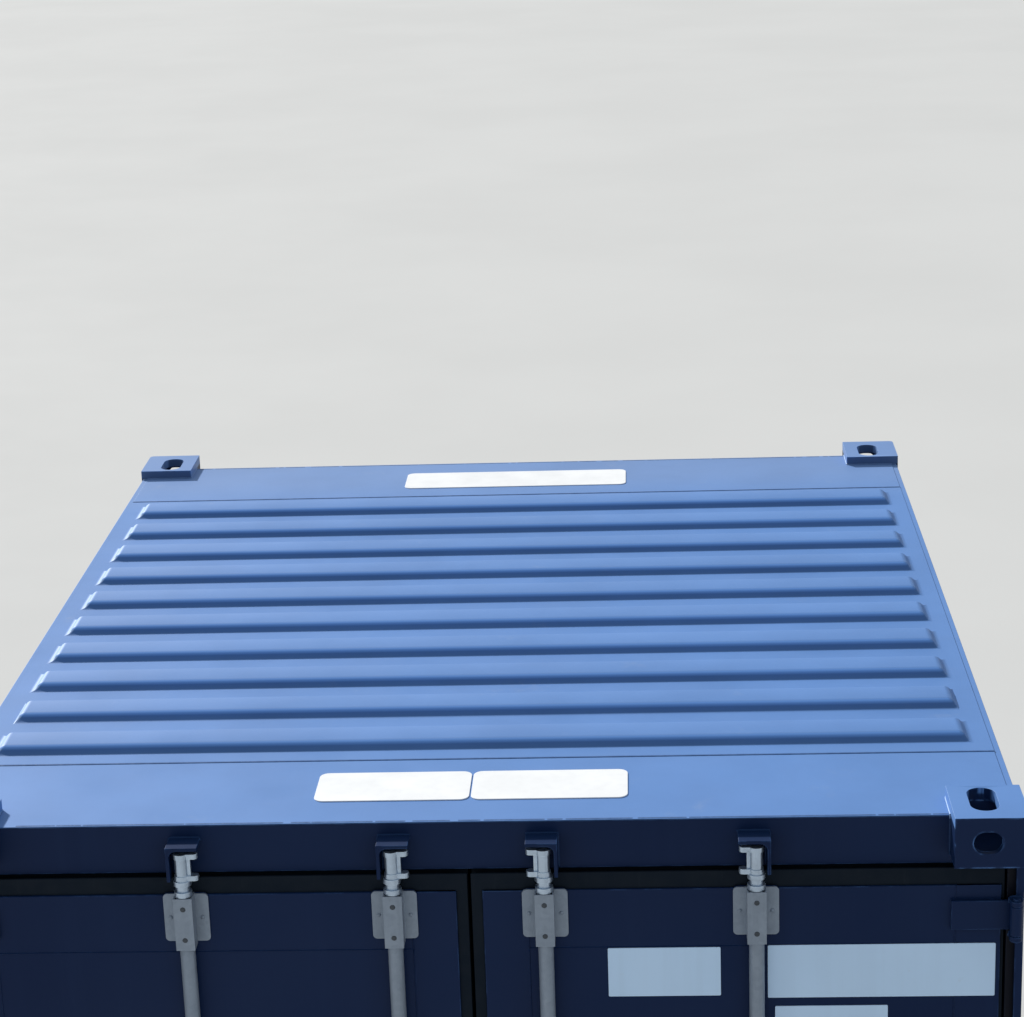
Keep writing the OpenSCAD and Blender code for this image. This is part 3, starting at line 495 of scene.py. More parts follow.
def material_for(name):
    """A material by its name, made when it is first asked for."""
    look = bpy.context.scene.container_finish
    stage = bpy.context.scene.container_stage
    post_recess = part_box("door_post_right")[0].y + PAINTED_SHADE_DEPTH
    makers = {
        "container_paint": lambda: paint_finish(look, name),
        # Fittings: wider, stronger lightened edges, partly scuffing and partly painted highlight
        "fitting_paint": lambda: paint_finish(look, name, edge_wear_and_light=0.85, rim=0.007),
        # Door posts: painted shade in their recess
        "post_paint": lambda: paint_finish(look, name, recess=post_recess),
        "weld_paint": lambda: paint_finish(look, name, edge_wear_and_light=0.0, paler=0.10, weld=True),
        "fine_weld_paint": lambda: paint_finish(look, name, edge_wear_and_light=0.0, weld=True),
        "seam_paint": lambda: paint_finish(look, name, chalk_and_sun_amount=0.55, edge_wear_and_light=0.0, weld=True),
        # Cams: edges lightened further as a painted highlight
        "bright_zinc": lambda: zinc_finish(name, look.zinc, 0.85, 0.28, edge_highlight=1.70),
        "dull_zinc": lambda: zinc_finish(name, look.dull_zinc, 0.35, 0.48),
        # Near black rivets that paint the shade inside the straps' holes
        "dark_steel": lambda: zinc_finish(name, look.dark_steel, 0.35, 0.45),
        "door_rubber": lambda: rubber_finish(look, name),
        "roof_plate": lambda: plate_finish(look, name, look.plate),
        # White plates tinted blue to paint the skylit shade at the door end
        "door_plate": lambda: plate_finish(look, name, look.door_plate),
        "floor_plywood": lambda: plywood_finish(look, name),
        "stage_floor": lambda: ground_finish(name, stage.floor_tone),
    }
    return bpy.data.materials.get(name) or makers[name]()


def merged(node):
    """A CAD node's triangles as one joined mesh with whole flat faces."""
    work = bmesh.new()
    work.from_mesh(frame["nodes"][node].data)
    bmesh.ops.remove_doubles(work, verts=work.verts, dist=SAME_PLACE)
    bmesh.ops.dissolve_limit(work, angle_limit=FLAT_TURN, verts=work.verts, edges=work.edges)
    return work


def new_object(name, data):
    """A new object in the scene."""
    made = bpy.data.objects.new(name, data)
    bpy.context.scene.collection.objects.link(made)
    return made


def new_piece(name, mesh, body, material):
    """A mesh made a piece of the container that rides on one of its bodies, with a named material."""
    piece = new_object(name, mesh)
    if not mesh.materials:
        mesh.materials.append(material_for(material))
    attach(piece, body)
    return piece


def mesh_of(work, name):
    """A work mesh turned into a mesh of its own, smooth but for its sharp edges."""
    mesh = bpy.data.meshes.new(name)
    work.to_mesh(mesh)
    work.free()
    mesh.shade_smooth()
    mesh.set_sharp_from_angle(angle=SHARP_TURN)
    return mesh


def plain_mesh(piece):
    """What a piece's modifiers make of it, as a mesh of its own. The modifiers are removed."""
    bpy.context.view_layer.update()
    graph = bpy.context.evaluated_depsgraph_get()
    mesh = bpy.data.meshes.new_from_object(piece.evaluated_get(graph))
    piece.modifiers.clear()
    return mesh


def is_rim(face, axis):
    """True for the thin faces at a sheet's rim: upright ones, or those that face along an axis."""
    slack = 0.05
    if axis is None:
        return abs(face.normal.z) < slack
    return abs(face.normal[axis]) > 1 - slack


def weigh_edges(work, rim_axis, sheet):
    """Marks the edges to round: the bends of a sheet, or all edges of a solid."""
    weight = work.edges.layers.float.new("bevel_weight_edge")
    least_turn = BEND_TURN if sheet else EDGE_TURN
    for edge in work.edges:
        if len(edge.link_faces) != 2 or edge.calc_face_angle(0) < least_turn:
            continue
        at_rim = sheet and any(is_rim(face, rim_axis) for face in edge.link_faces)
        edge[weight] = 0.0 if at_rim else 1.0


def rounded(piece, width, segments=2, **settings):
    """Rounds the edges of a piece."""
    bevel = piece.modifiers.new("Rounded edges", "BEVEL")
    bevel.width = width
    bevel.segments = segments
    for name, value in settings.items():
        setattr(bevel, name, value)


def finished(node, material):
    """A rounded copy of a CAD node that stands for it, with a named material."""
    sizes = bpy.context.scene.container_sizes
    sheet = node in SHEETS
    ribbed = node == "roof_panels"
    work = merged(node)
    weigh_edges(work, SHEETS.get(node), sheet)
    name = f"{node}_finish"
    piece = new_piece(name, mesh_of(work, name), BODY_OF[node], material)
    bend = sizes.rib_bend if ribbed else sizes.sheet_bend
    rounded(piece, bend if sheet else sizes.edge_round, 4 if sheet else 2,
            limit_method="WEIGHT", harden_normals=True, use_clamp_overlap=not ribbed)
    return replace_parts(piece, node)


def add_block(work, low, high):
    """A box between two corners, added to a work mesh."""
    for vert in bmesh.ops.create_cube(work, size=1.0)["verts"]:
        for axis in (X, Y, Z):
            share = vert.co[axis] + 0.5
            vert.co[axis] = low[axis] + share * (high[axis] - low[axis])


def rims(node, axis, level):
    """All rims of a CAD node's flat faces at one level along an axis, as closed rows of points."""
    work = merged(node)
    flat = {face for face in work.faces if all(abs(v.co[axis] - level) < SAME_PLACE for v in face.verts)}
    rim = {edge for edge in work.edges if sum(face in flat for face in edge.link_faces) == 1}
    loops = []
    for edge in work.edges:
        if edge not in rim:
            continue
        rim.discard(edge)
        start, end = edge.verts
        loop = [start, end]
        while loop[-1] is not loop[0]:
            onward = next(e for e in loop[-1].link_edges if e in rim)
            rim.discard(onward)
            loop.append(onward.other_vert(loop[-1]))
        loops.append([vert.co.copy() for vert in loop[:-1]])
    work.free()
    return loops


def encloses(outer, inner):
    """True if one flat row of points has another one inside its box."""
    if outer is inner:
        return False
    for axis in (X, Y, Z):
        if min(p[axis] for p in outer) > min(p[axis] for p in inner) + SAME_PLACE:
            return False
        if max(p[axis] for p in outer) < max(p[axis] for p in inner) - SAME_PLACE:
            return False
    return True


def hole_middles(node, axis, level):
    """The middles of the holes in a CAD node's flat faces at one level along an axis."""
    loops = rims(node, axis, level)
    holes = [loop for loop in loops if any(encloses(other, loop) for other in loops)]
    return [sum(loop, Vector()) / len(loop) for loop in holes]


def outlines(node, axis, *places):
    """The outer rims of a CAD node's flat faces at levels along an axis, as closed paths."""
    paths = []
    for level in places:
        loops = rims(node, axis, level)
        paths += [(loop, True) for loop in loops if not any(encloses(other, loop) for other in loops)]
    return paths


def end_outlines(node, axis):
    """The outlines of a CAD node's two ends along an axis."""
    low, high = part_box(node)
    return outlines(node, axis, low[axis], high[axis])


def new_tree(name, geometry, **values):
    """A geometry tree and its named inputs: geometry, numbers with their defaults, and a material."""
    tree = bpy.data.node_groups.new(name, "GeometryNodeTree")
    tree.interface.new_socket(geometry, in_out="INPUT", socket_type="NodeSocketGeometry")
    for label, value in values.items():
        kind = "NodeSocketInt" if isinstance(value, int) else "NodeSocketFloat"
        tree.interface.new_socket(label, in_out="INPUT", socket_type=kind).default_value = value
    tree.interface.new_socket("Material", in_out="INPUT", socket_type="NodeSocketMaterial")
    return tree, tree.nodes.new("NodeGroupInput").outputs


def random_share(tree, given, spread):
    """A random factor for every point, between one less the named spread and one."""
    least = add_node(tree, "ShaderNodeMath", {0: 1.0, 1: given[spread]}, operation="SUBTRACT").outputs[0]
    limits = {2: least, 3: 1.0, "Seed": given["Seed"]}
    return add_node(tree, "FunctionNodeRandomValue", limits, data_type="FLOAT").outputs[1]


def close_tree(tree, geometry, material):
    """Ends a geometry tree in plain geometry with one material."""
    tree.interface.new_socket("Geometry", in_out="OUTPUT", socket_type="NodeSocketGeometry")
    real = add_node(tree, "GeometryNodeRealizeInstances", {"Geometry": geometry})
    painted = add_node(tree, "GeometryNodeSetMaterial", {"Geometry": real.outputs[0], "Material": material})
    add_node(tree, "NodeGroupOutput", {0: painted.outputs[0]})
    return tree


def weld_tree():
    """Geometry nodes that lay a slightly uneven bead along every edge of a mesh."""
    name = "Weld beads"
    if name in bpy.data.node_groups:
        return bpy.data.node_groups[name]
    tree, given = new_tree(name, "Paths", Radius=0.0035, Step=0.010, Sides=6, Unevenness=0.22, Seed=7)
    curve = add_node(tree, "GeometryNodeMeshToCurve", {"Mesh": given["Paths"]}).outputs[0]
    stepped = {"Curve": curve, "Length": given["Step"]}
    curve = add_node(tree, "GeometryNodeResampleCurve", stepped, mode="LENGTH").outputs[0]
    ring = {"Resolution": given["Sides"], "Radius": given["Radius"]}
    profile = add_node(tree, "GeometryNodeCurvePrimitiveCircle", ring).outputs["Curve"]
    swell = random_share(tree, given, "Unevenness")
    skin = {"Curve": curve, "Profile Curve": profile, "Scale": swell, "Fill Caps": True}
    bead = add_node(tree, "GeometryNodeCurveToMesh", skin).outputs[0]
    smooth = add_node(tree, "GeometryNodeSetShadeSmooth", {"Geometry": bead}).outputs[0]
    return close_tree(tree, smooth, given["Material"])


def head_tree(name, sides):
    """Geometry nodes that set a fastener's head on every point, facing the way the point says.

    The head is a flat one with so many sides or, with none, a dome.
    """
    if name in bpy.data.node_groups:
        return bpy.data.node_groups[name]
    tree, given = new_tree(name, "Places", Width=0.010, Height=0.003, Spread=0.06, Seed=11)
    if sides:
        disc = {"Vertices": sides, "Radius": 0.5, "Depth": 2.0}
        head = add_node(tree, "GeometryNodeMeshCylinder", disc, fill_type="NGON").outputs["Mesh"]
    else:
        ball = add_node(tree, "GeometryNodeMeshUVSphere", {"Segments": 12, "Rings": 8, "Radius": 0.5})
        dome = add_node(tree, "GeometryNodeSetShadeSmooth", {"Geometry": ball.outputs["Mesh"]}).outputs[0]
        taller = {"Geometry": dome, "Scale": (1.0, 1.0, 2.0)}
        head = add_node(tree, "GeometryNodeTransform", taller).outputs[0]
    factors = {0: given["Width"], 1: random_share(tree, given, "Spread")}
    wide = add_node(tree, "ShaderNodeMath", factors, operation="MULTIPLY").outputs[0]
    scale = add_node(tree, "ShaderNodeCombineXYZ", {"X": wide, "Y": wide, "Z": given["Height"]}).outputs[0]
    way = add_node(tree, "GeometryNodeInputNamedAttribute", {"Name": "facing"}, data_type="FLOAT_VECTOR")
    turned = add_node(tree, "FunctionNodeAlignRotationToVector", {"Vector": way.outputs[0]}, axis="Z")
    copies = {"Points": given["Places"], "Instance": head, "Rotation": turned.outputs[0], "Scale": scale}
    heads = add_node(tree, "GeometryNodeInstanceOnPoints", copies).outputs[0]
    return close_tree(tree, heads, given["Material"])


def grown(name, tree, base, body, material, slot, **values):
    """Runs a geometry tree on a base mesh and keeps the result as a plain mesh that rides on a body."""
    carrier = new_object(name, base)
    modifier = carrier.modifiers.new(tree.name, "NODES")
    modifier.node_group = tree
    values["Material"] = material_for(material)
    for item in tree.interface.items_tree:
        if item.in_out == "INPUT" and item.name in values:
            modifier[item.identifier] = values[item.name]
    mesh = plain_mesh(carrier)
    bpy.data.objects.remove(carrier)
    mesh.name = name
    new_piece(name, mesh, body, material)


def add_beads(name, paths, body, material, radius, uneven=0.22):
    """Weld beads along paths, each a row of points and whether it is closed, as one piece."""
    verts, edges = [], []
    for points, closed in paths:
        first = len(verts)
        verts.extend(points)
        last = len(verts) - 1
        edges.extend((i, i + 1) for i in range(first, last))
        if closed:
            edges.append((last, first))
    base = bpy.data.meshes.new(f"{name}_paths")
    base.from_pydata(verts, edges, [])
    grown(name, weld_tree(), base, body, material, PAINT_SLOT,
          Radius=radius, Step=bpy.context.scene.container_sizes.weld_step, Unevenness=uneven)


def add_heads(name, tree, places, way, body, material, **values):
    """Fasteners' heads on places, all facing one way, as one piece."""
    base = bpy.data.meshes.new(f"{name}_places")
    base.from_pydata(places, [], [])
    for item in base.attributes.new("facing", "FLOAT_VECTOR", "POINT").data:
        item.vector = way
    grown(name, tree, base, body, material, ZINC_SLOT, **values)


def steps(low, high, pitch):
    """Evenly spaced values from low to high, no further apart than the pitch."""
    count = max(1, math.ceil((high - low) / pitch))
    return [low + (high - low) * i / count for i in range(count + 1)]


def bar_axis(side, place):
    """Where a locking bar's axis stands along X."""
    return next(joint["pos_m"][X] for joint in frame["joints"] if joint["child"] == f"{side}_{place}_bar")


class CONTAINER_OT_frame(bpy.types.Operator):
    """Finish the corner fittings, posts, rails and end beams"""

    bl_idname = "container.frame"
    bl_label = "Frame"

    def execute(self, context):
        for node in frame["nodes"]:
            if node.startswith(("top_fitting", "bottom_fitting")):
                finished(node, "fitting_paint")
            elif node.startswith("door_post"):
                finished(node, "post_paint")
            elif node.startswith(("front_post", "top_rail", "bottom_rail")):
                finished(node, "container_paint")
        for node in BEAMS:
            finished(node, "container_paint")
        return {"FINISHED"}


class CONTAINER_OT_shell(bpy.types.Operator):
    """Finish the roof, the walls and the underframe"""

    bl_idname = "container.shell"
    bl_label = "Roof and walls"

    def execute(self, context):
        for node in ("roof_panels", "roof_end_plates", *WALLS, "cross_members", "fork_pockets"):
            finished(node, "container_paint")
        return {"FINISHED"}


class CONTAINER_OT_floor(bpy.types.Operator):
    """Lay the plywood boards and drive their screws"""

    bl_idname = "container.floor"
    bl_label = "Floor"

    rows = 3
    columns = 2

    def execute(self, context):
        sizes = context.scene.container_sizes
        low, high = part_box("floor")
        half_gap = sizes.board_gap / 2
        spare = 1
        boards = bmesh.new()
        for column in range(self.columns):
            for row in range(self.rows):
                near = self.corner(low, high, column, row, half_gap)
                far = self.corner(low, high, column + 1, row + 1, -half_gap)
                add_block(boards, (*near, low.z - spare), (*far, high.z + spare))
        mesh = mesh_of(boards, "floor_finish")
        piece = new_piece("floor_finish", mesh, BODY_OF["floor"], "floor_plywood")
        self.cut_out(piece)
        rounded(piece, sizes.board_round, harden_normals=True)
        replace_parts(piece, "floor")
        self.drive_screws(context, low, high)
        return {"FINISHED"}

    def corner(self, low, high, column, row, inset):
        """A corner of the grid of boards."""
        return (low.x + (high.x - low.x) * column / self.columns + inset,
                low.y + (high.y - low.y) * row / self.rows + inset)

    def cut_out(self, piece):
        """Cuts the tall blocks of the boards to the shape of the CAD's floor."""
        outline = new_object("floor_outline", mesh_of(merged("floor"), "floor_outline"))
        cut = piece.modifiers.new("Outline", "BOOLEAN")
        cut.operation = "INTERSECT"
        cut.solver = "EXACT"
        cut.object = outline
        piece.data = plain_mesh(piece)
        bpy.data.objects.remove(outline)

    def drive_screws(self, context, low, high):
        """Rows of screws over the cross members and along the joints of the boards."""
        row_pitch = 0.45
        screw_pitch = 0.28
        inset = 0.03
        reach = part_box("bottom_rail_right")[1].x - 2 * inset
        places = []
        for row in range(self.rows):
            start = self.corner(low, high, 0, row, inset)[Y]
            end = self.corner(low, high, 0, row + 1, -inset)[Y]
            for y in steps(start, end, row_pitch):
                for column in range(self.columns):
                    left = max(self.corner(low, high, column, 0, inset)[X], -reach)
                    right = min(self.corner(low, high, column + 1, 0, -inset)[X], reach)
                    places.extend((x, y, high.z) for x in steps(left, right, screw_pitch))
        width = context.scene.container_sizes.screw_width
        add_heads("floor_screws", head_tree("Screw heads", 16), places, (0, 0, 1), BODY_OF["floor"],
                  "dull_zinc", Width=width, Height=0.0006, Spread=0.05)


class CONTAINER_OT_doors(bpy.types.Operator):
    """Finish the doors with their seals, seal strips and hinges"""

    bl_idname = "container.doors"
    bl_label = "Doors"

    strip_inset = 0.004
    strip_thickness = 0.002
    strip_joint = 0.001

    def execute(self, context):
        finished("hinge_lugs", "container_paint")
        for side in SIDES:
            for node in ("door_frame", "door_panel", "hinge_blades"):
                finished(f"{node}_{side}", "container_paint")
            finished(f"door_seal_{side}", "door_rubber")
            self.hold_seal(context, side)
        return {"FINISHED"}

    def hold_seal(self, context, side):
        """Flat strips with rivets round the back of a door, which hold the seal."""
        sizes = context.scene.container_sizes
        width = sizes.strip_width
        low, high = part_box(f"door_frame_{side}")
        left, right = low.x + self.strip_inset, high.x - self.strip_inset
        bottom, top = low.z + self.strip_inset, high.z - self.strip_inset
        back = high.y + self.strip_thickness
        strips = bmesh.new()
        for z in (bottom, top - width):
            add_block(strips, (left, high.y, z), (right, back, z + width))
        foot, head = bottom + width + self.strip_joint, top - width - self.strip_joint
        for x in (left, right - width):
            add_block(strips, (x, high.y, foot), (x + width, back, head))
        mesh = mesh_of(strips, "seal_strips")
        strip = new_piece(f"seal_strips_{side}", mesh, f"{side}_door", "dull_zinc")
        rounded(strip, sizes.strip_round)

        across = steps(left + width / 2, right - width / 2, sizes.rivet_pitch)
        upward = steps(bottom + width / 2, top - width / 2, sizes.rivet_pitch)
        places = [(x, back, z) for x in across for z in (upward[0], upward[-1])]
        places += [(x, back, z) for z in upward[1:-1] for x in (across[0], across[-1])]
        add_heads(f"seal_rivets_{side}", head_tree("Rivet heads", 0), places, (0, 1, 0), f"{side}_door",
                  "bright_zinc", Width=sizes.rivet_width, Height=0.0028, Spread=0.04)


class CONTAINER_OT_locks(bpy.types.Operator):
    """Finish the locking bars, their guides, keepers and handles"""

    bl_idname = "container.locks"
    bl_label = "Locking gear"

    # Distance of the rivets from the bar's axis and the guides' ends, and of a handle's pin from the axis
    rivet_aside = 0.036
    rivet_inset = 0.062
    pin_aside = 0.042

    # How far the guides' wings stand off the door at least, and a bar's bright ends reach into the guides
    wing_rise = 0.004
    bright_reach = 0.004

    def execute(self, context):
        finished("cam_keepers", "container_paint")
        for side in SIDES:
            finished(f"bar_guides_{side}", "dull_zinc")
            for place in BAR_PLACES:
                bar = finished(f"bar_{side}_{place}", "dull_zinc")
                self.brighten_ends(bar, side)
                finished(f"handle_{side}_{place}", "dull_zinc")
            self.rivet_gear(context, side)
        return {"FINISHED"}

    def brighten_ends(self, bar, side):
        """Gives the bar's ends, past the guides, the finish of the cams."""
        low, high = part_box(f"bar_guides_{side}")
        bar.data.materials.append(material_for("bright_zinc"))
        for face in bar.data.polygons:
            if not low.z + self.bright_reach <= face.center.z <= high.z - self.bright_reach:
                face.material_index = 1

    def rivet_gear(self, context, side):
        """Rivets on the guides' wings and in their straps, and a pin through each handle's root."""
        guides = f"bar_guides_{side}"
        low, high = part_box(guides)
        door_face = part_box(f"door_frame_{side}")[0].y
        depths = [point.co.y for point in frame["nodes"][guides].data.vertices]
        wings = max(depth for depth in depths if depth < door_face - self.wing_rise)
        wide = context.scene.container_sizes.rivet_width
        places = []
        for place in BAR_PLACES:
            middle = bar_axis(side, place)
            for x in (middle - self.rivet_aside, middle + self.rivet_aside):
                for z in (high.z - self.rivet_inset, low.z + self.rivet_inset):
                    places.append((x, wings, z))
            handle_low, handle_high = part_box(f"handle_{side}_{place}")
            height = (handle_low.z + handle_high.z) / 2
            root = (middle + SIDES[side] * self.pin_aside, handle_low.y, height)
            self.rivet(f"handle_pin_{side}_{place}", [root], f"{side}_{place}_bar", "dull_zinc",
                       Width=0.018, Height=0.004, Spread=0.0)
        self.rivet(f"guide_rivets_{side}", places, f"{side}_door", "dull_zinc",
                   Width=wide, Height=0.003, Spread=0.05)
        # Near black rivets in the straps' holes paint the shade inside them
        self.rivet(f"strap_rivets_{side}", hole_middles(guides, Y, low.y), f"{side}_door", "dark_steel",
                   Width=1.25 * wide, Height=0.002, Spread=0.05)

    def rivet(self, name, places, body, material, **values):
        """Domed heads that face the front, as one piece."""
        add_heads(name, head_tree("Rivet heads", 0), places, (0, -1, 0), body, material, **values)


class CONTAINER_OT_welds(bpy.types.Operator):
    """Lay the weld beads along the seams"""

    bl_idname = "container.welds"
    bl_label = "Welds"

    # How far the beads between the roof's plates, at its ends, and the faint ones stand out of it
    joint_rise = 0.0022
    end_rise = 0.0012
    faint_rise = 0.0008

    # Distance of the end beads from the roof's ends, as a share of their radius
    end_inset = 0.9

    # Thickness of the beads on walls and doors, as a share of those on the frame
    wall_share = 0.7
    door_share = 0.55

    def execute(self, context):
        sizes = context.scene.container_sizes
        fine = sizes.weld_radius * self.wall_share
        finest = sizes.weld_radius * self.door_share
        roof = self.roof_seams(sizes.seam_radius)
        add_beads("roof_seams", roof, "frame", "seam_paint", sizes.seam_radius, uneven=0.05)
        joints = self.fitting_seams() + self.frame_seams()
        add_beads("frame_welds", joints, "frame", "weld_paint", sizes.weld_radius)
        sheets = [path for node in WALLS for path in self.wall_seams(node)]
        add_beads("sheet_welds", sheets, "frame", "fine_weld_paint", fine)
        for side in SIDES:
            add_beads(f"door_welds_{side}", self.door_seams(side), f"{side}_door", "fine_weld_paint", finest)
        return {"FINISHED"}

    def roof_seams(self, radius):
        """Beads between the roof's plates, along its edges and at its ends, all but sunk into it."""
        panels_low, panels_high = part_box("roof_panels")
        plates_low, plates_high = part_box("roof_end_plates")
        fitting_low, fitting_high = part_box("top_fitting_door_right")
        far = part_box("top_fitting_front_right")[0].y
        inset = self.end_inset * radius
        rows = [(y, panels_high.x, self.joint_rise) for y in (panels_low.y, panels_high.y)]
        rows.append((0.0, panels_high.x, self.faint_rise))
        rows += [(y, fitting_low.x, self.end_rise) for y in (plates_low.y + inset, plates_high.y - inset)]
        paths = []
        for y, reach, rise in rows:
            z = ROOF_TOP + rise - radius
            paths.append(([(-reach, y, z), (reach, y, z)], False))
        z = ROOF_TOP + self.faint_rise - radius
        for x in (panels_low.x + 2 * radius, panels_high.x - 2 * radius):
            paths.append(([(x, fitting_high.y, z), (x, far, z)], False))
        return paths

    def fitting_seams(self):
        """Beads round the fittings, along the roof."""
        low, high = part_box("roof_end_plates")
        fitting_low, fitting_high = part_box("top_fitting_door_right")
        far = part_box("top_fitting_front_right")[0].y
        paths = []
        for end, inner in ((low.y, fitting_high.y), (high.y, far)):
            for sign in SIDES.values():
                x, edge = sign * fitting_low.x, sign * high.x
                points = [(x, end, ROOF_TOP), (x, inner, ROOF_TOP), (edge, inner, ROOF_TOP)]
                paths.append((points, False))
        return paths

    def frame_seams(self):
        """Outlines where posts, rails and beams meet the fittings and each other."""
        fitting_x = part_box("top_fitting_door_right")[0].x
        pockets_low, pockets_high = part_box("fork_pockets")
        paths = []
        for side, sign in SIDES.items():
            for node in ("door_post", "front_post"):
                paths += end_outlines(f"{node}_{side}", Z)
            for node in ("top_rail", "bottom_rail"):
                paths += end_outlines(f"{node}_{side}", Y)
            paths += outlines("fork_pockets", X, pockets_high.x if sign > 0 else pockets_low.x)
            for node in BEAMS:
                paths += outlines(node, X, sign * fitting_x)
        for node in ("door_header", "door_sill", "front_sill"):
            paths += end_outlines(node, X)
        for node in ("cam_keepers", "hinge_lugs"):
            paths += outlines(node, Y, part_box(node)[1].y)
        return paths

    def wall_seams(self, node):
        """Edges of a corrugated wall."""
        across = X if node == "front_wall" else Y
        return end_outlines(node, Z) + end_outlines(node, across)

    def door_seams(self, side):
        """Edges of a door's panel, of its frame's corners and of what is welded to its face."""
        panel = f"door_panel_{side}"
        low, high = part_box(panel)
        frame_low, frame_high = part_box(f"door_frame_{side}")
        face = frame_low.y
        paths = end_outlines(panel, X) + end_outlines(panel, Z)
        for x in (low.x, high.x):
            for z_low, z_high in ((frame_low.z, low.z), (high.z, frame_high.z)):
                paths.append(([(x, face, z_low), (x, face, z_high)], False))
        for node in (f"bar_guides_{side}", f"hinge_blades_{side}"):
            paths += outlines(node, Y, face)
        return paths


class CONTAINER_OT_plates(bpy.types.Operator):
    """Fix the bare white plates on the roof and on the right door"""

    bl_idname = "container.plates"
    bl_label = "White plates"

    # From where to where each plate reaches along X, and along Y on the roof or along Z on the door
    roof_plates = {
        "roof_plate_near_left": ((-0.354, -0.003), (-1.301, -1.141)),
        "roof_plate_near_right": ((0.001, 0.354), (-1.301, -1.141)),
        "roof_plate_far": ((-0.350, 0.350), (1.147, 1.312)),
    }
    door_plates = {
        "door_plate_inner": ((0.303, 0.553), (2.145, 2.264)),
        "door_plate_outer": ((0.657, 1.158), (2.138, 2.267)),
        "door_plate_lower": ((0.673, 0.923), (1.993, 2.117)),
    }
    roof_corner = 0.022
    door_corner = 0.003
    arc_steps = 6
    rim_turn = math.radians(50)

    def execute(self, context):
        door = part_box("door_frame_right")[0].y
        for name, reaches in self.roof_plates.items():
            points = [(a, b, ROOF_TOP) for a, b in self.outline(*reaches, self.roof_corner)]
            self.fix(name, points, Vector((0, 0, 1)), "frame", "roof_plate")
        for name, reaches in self.door_plates.items():
            points = [(a, door, b) for a, b in self.outline(*reaches, self.door_corner)]
            # The door plates' blue-tinted white paints the shade of the door end
            self.fix(name, points, Vector((0, -1, 0)), "right_door", "door_plate")
        return {"FINISHED"}

    def outline(self, across, along, corner):
        """Points round a plate with round corners."""
        left, right = across[0] + corner, across[1] - corner
        near, far = along[0] + corner, along[1] - corner
        points = []
        for quarter, (a, b) in enumerate(((right, far), (left, far), (left, near), (right, near))):
            for step in range(self.arc_steps + 1):
                turn = math.radians(90) * (quarter + step / self.arc_steps)
                points.append((a + corner * math.cos(turn), b + corner * math.sin(turn)))
        return points

    def fix(self, name, points, way, body, material):
        """A plate that stands up from a row of points, with its rim rounded, as one piece."""
        sizes = bpy.context.scene.container_sizes
        work = bmesh.new()
        lower = [work.verts.new(point) for point in points]
        upper = [work.verts.new(Vector(point) + way * sizes.plate_thickness) for point in points]
        work.faces.new(lower)
        work.faces.new(upper)
        for i in range(len(points)):
            j = (i + 1) % len(points)
            work.faces.new((lower[i], lower[j], upper[j], upper[i]))
        bmesh.ops.recalc_face_normals(work, faces=work.faces)
        piece = new_piece(name, mesh_of(work, "plate"), body, material)
        rounded(piece, sizes.plate_round, limit_method="ANGLE", angle_limit=self.rim_turn)


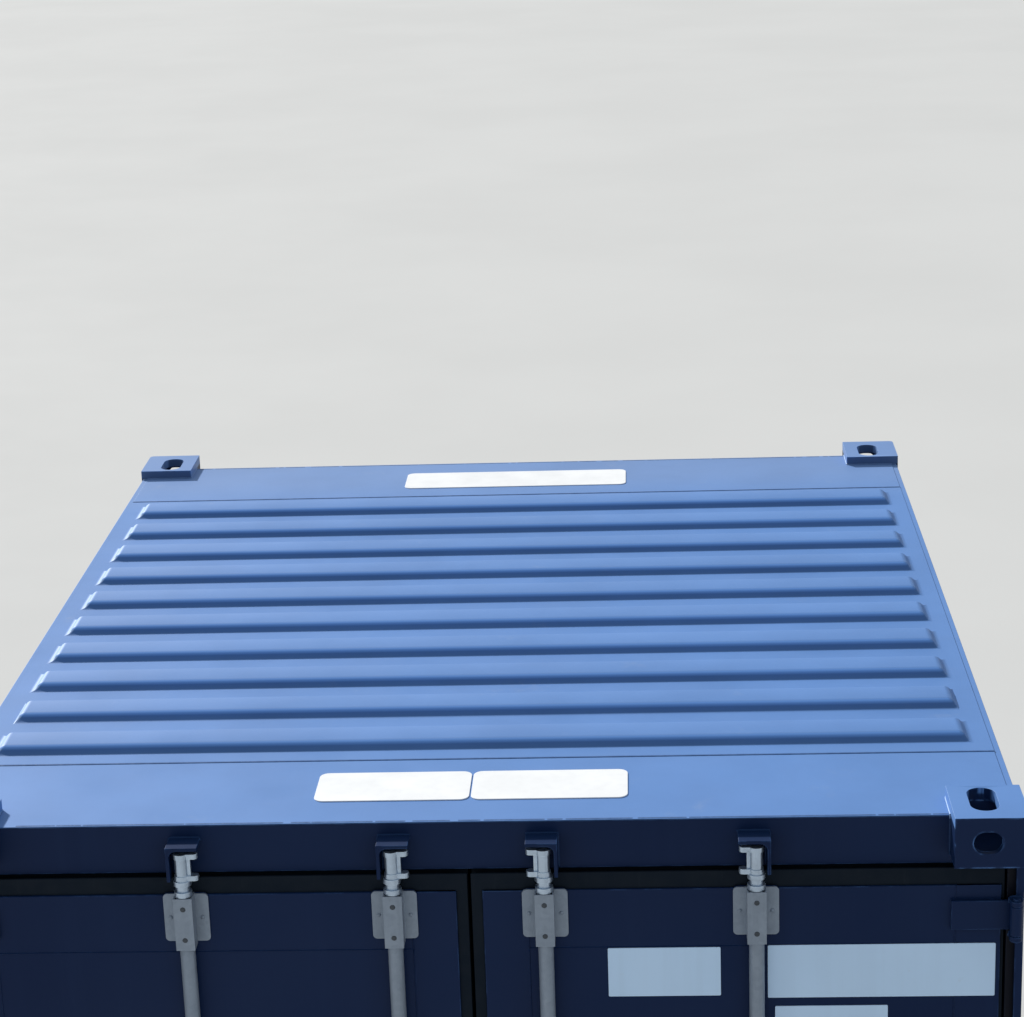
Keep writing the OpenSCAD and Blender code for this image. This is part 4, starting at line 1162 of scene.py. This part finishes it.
class CONTAINER_OT_stage(bpy.types.Operator):
    """Set up the floor, the light and the camera"""

    bl_idname = "container.stage"
    bl_label = "Stage"

    def execute(self, context):
        stage = context.scene.container_stage
        self.lay_floor(stage.floor_reach)
        self.light(context, stage)
        self.aim_camera(context, stage)
        context.scene.view_settings.view_transform = "Standard"
        return {"FINISHED"}

    def lay_floor(self, reach):
        """A wide floor on the ground."""
        mesh = bpy.data.meshes.new("stage_floor")
        corners = [(-reach, -reach, 0), (reach, -reach, 0), (reach, reach, 0), (-reach, reach, 0)]
        mesh.from_pydata(corners, [], [(0, 1, 2, 3)])
        mesh.materials.append(material_for("stage_floor"))
        floor = new_object("stage_floor", mesh)

    def light(self, context, stage):
        """One broad sun from behind the left side, and even light from all round."""
        lamp = bpy.data.lights.new("sun", "SUN")
        lamp.energy = stage.sun_strength
        lamp.angle = stage.sun_spread
        lamp.color = stage.sun_colour
        sun = new_object("sun", lamp)
        flat = math.cos(stage.sun_height)
        towards = Vector((-math.sin(stage.sun_side) * flat, math.cos(stage.sun_side) * flat,
                          math.sin(stage.sun_height)))
        sun.rotation_mode = "QUATERNION"
        sun.rotation_quaternion = towards.to_track_quat("Z", "Y")
        world = bpy.data.worlds.new("sky")
        context.scene.world = world
        world.use_nodes = True
        sky = world.node_tree.nodes["Background"]
        sky.inputs["Color"].default_value = with_alpha(stage.sky_colour)
        sky.inputs["Strength"].default_value = stage.sky_strength

    def aim_camera(self, context, stage):
        """The camera at the place and angle of the photograph."""
        data = bpy.data.cameras.new("camera")
        data.sensor_width = 36
        data.lens = stage.lens
        data.clip_end = 400
        camera = new_object("camera", data)
        context.scene.camera = camera
        pitch, yaw, roll = stage.camera_pitch, stage.camera_yaw, stage.camera_roll
        ahead = Vector((math.sin(yaw) * math.cos(pitch), math.cos(yaw) * math.cos(pitch), -math.sin(pitch)))
        level = Vector((math.cos(yaw), -math.sin(yaw), 0))
        upward = level.cross(ahead)
        right = level * math.cos(roll) + upward * math.sin(roll)
        top = upward * math.cos(roll) - level * math.sin(roll)
        turned = camera.matrix_world.to_3x3()
        turned.col[0], turned.col[1], turned.col[2] = right, top, -ahead
        camera.matrix_world = turned.to_4x4()
        camera.location = stage.camera_place


class CONTAINER_PT_panel(bpy.types.Panel):
    """Sizes, colours and steps of the container"""

    bl_label = "Freight Container"
    bl_idname = "CONTAINER_PT_panel"
    bl_space_type = "VIEW_3D"
    bl_region_type = "UI"
    bl_category = "Container"

    def draw(self, context):
        layout = self.layout
        for group in (context.scene.container_finish, context.scene.container_sizes,
                      context.scene.container_stage):
            box = layout.box()
            for name in group.bl_rna.properties.keys():
                if name not in {"rna_type", "name"}:
                    box.prop(group, name)
        for operator in OPERATORS:
            layout.operator(operator.bl_idname)


OPERATORS = (
    CONTAINER_OT_stage,
    CONTAINER_OT_frame,
    CONTAINER_OT_shell,
    CONTAINER_OT_floor,
    CONTAINER_OT_doors,
    CONTAINER_OT_locks,
    CONTAINER_OT_welds,
    CONTAINER_OT_plates,
)
CLASSES = (ContainerFinish, ContainerSizes, ContainerStage, *OPERATORS, CONTAINER_PT_panel)


def register():
    for item in CLASSES:
        bpy.utils.register_class(item)
    bpy.types.Scene.container_finish = bpy.props.PointerProperty(type=ContainerFinish)
    bpy.types.Scene.container_sizes = bpy.props.PointerProperty(type=ContainerSizes)
    bpy.types.Scene.container_stage = bpy.props.PointerProperty(type=ContainerStage)


def unregister():
    del bpy.types.Scene.container_stage
    del bpy.types.Scene.container_sizes
    del bpy.types.Scene.container_finish
    for item in reversed(CLASSES):
        bpy.utils.unregister_class(item)


def main():
    """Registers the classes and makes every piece."""
    register()
    for operator in OPERATORS:
        group, name = operator.bl_idname.split(".")
        getattr(getattr(bpy.ops, group), name)()


if __name__ == "__main__":
    main()
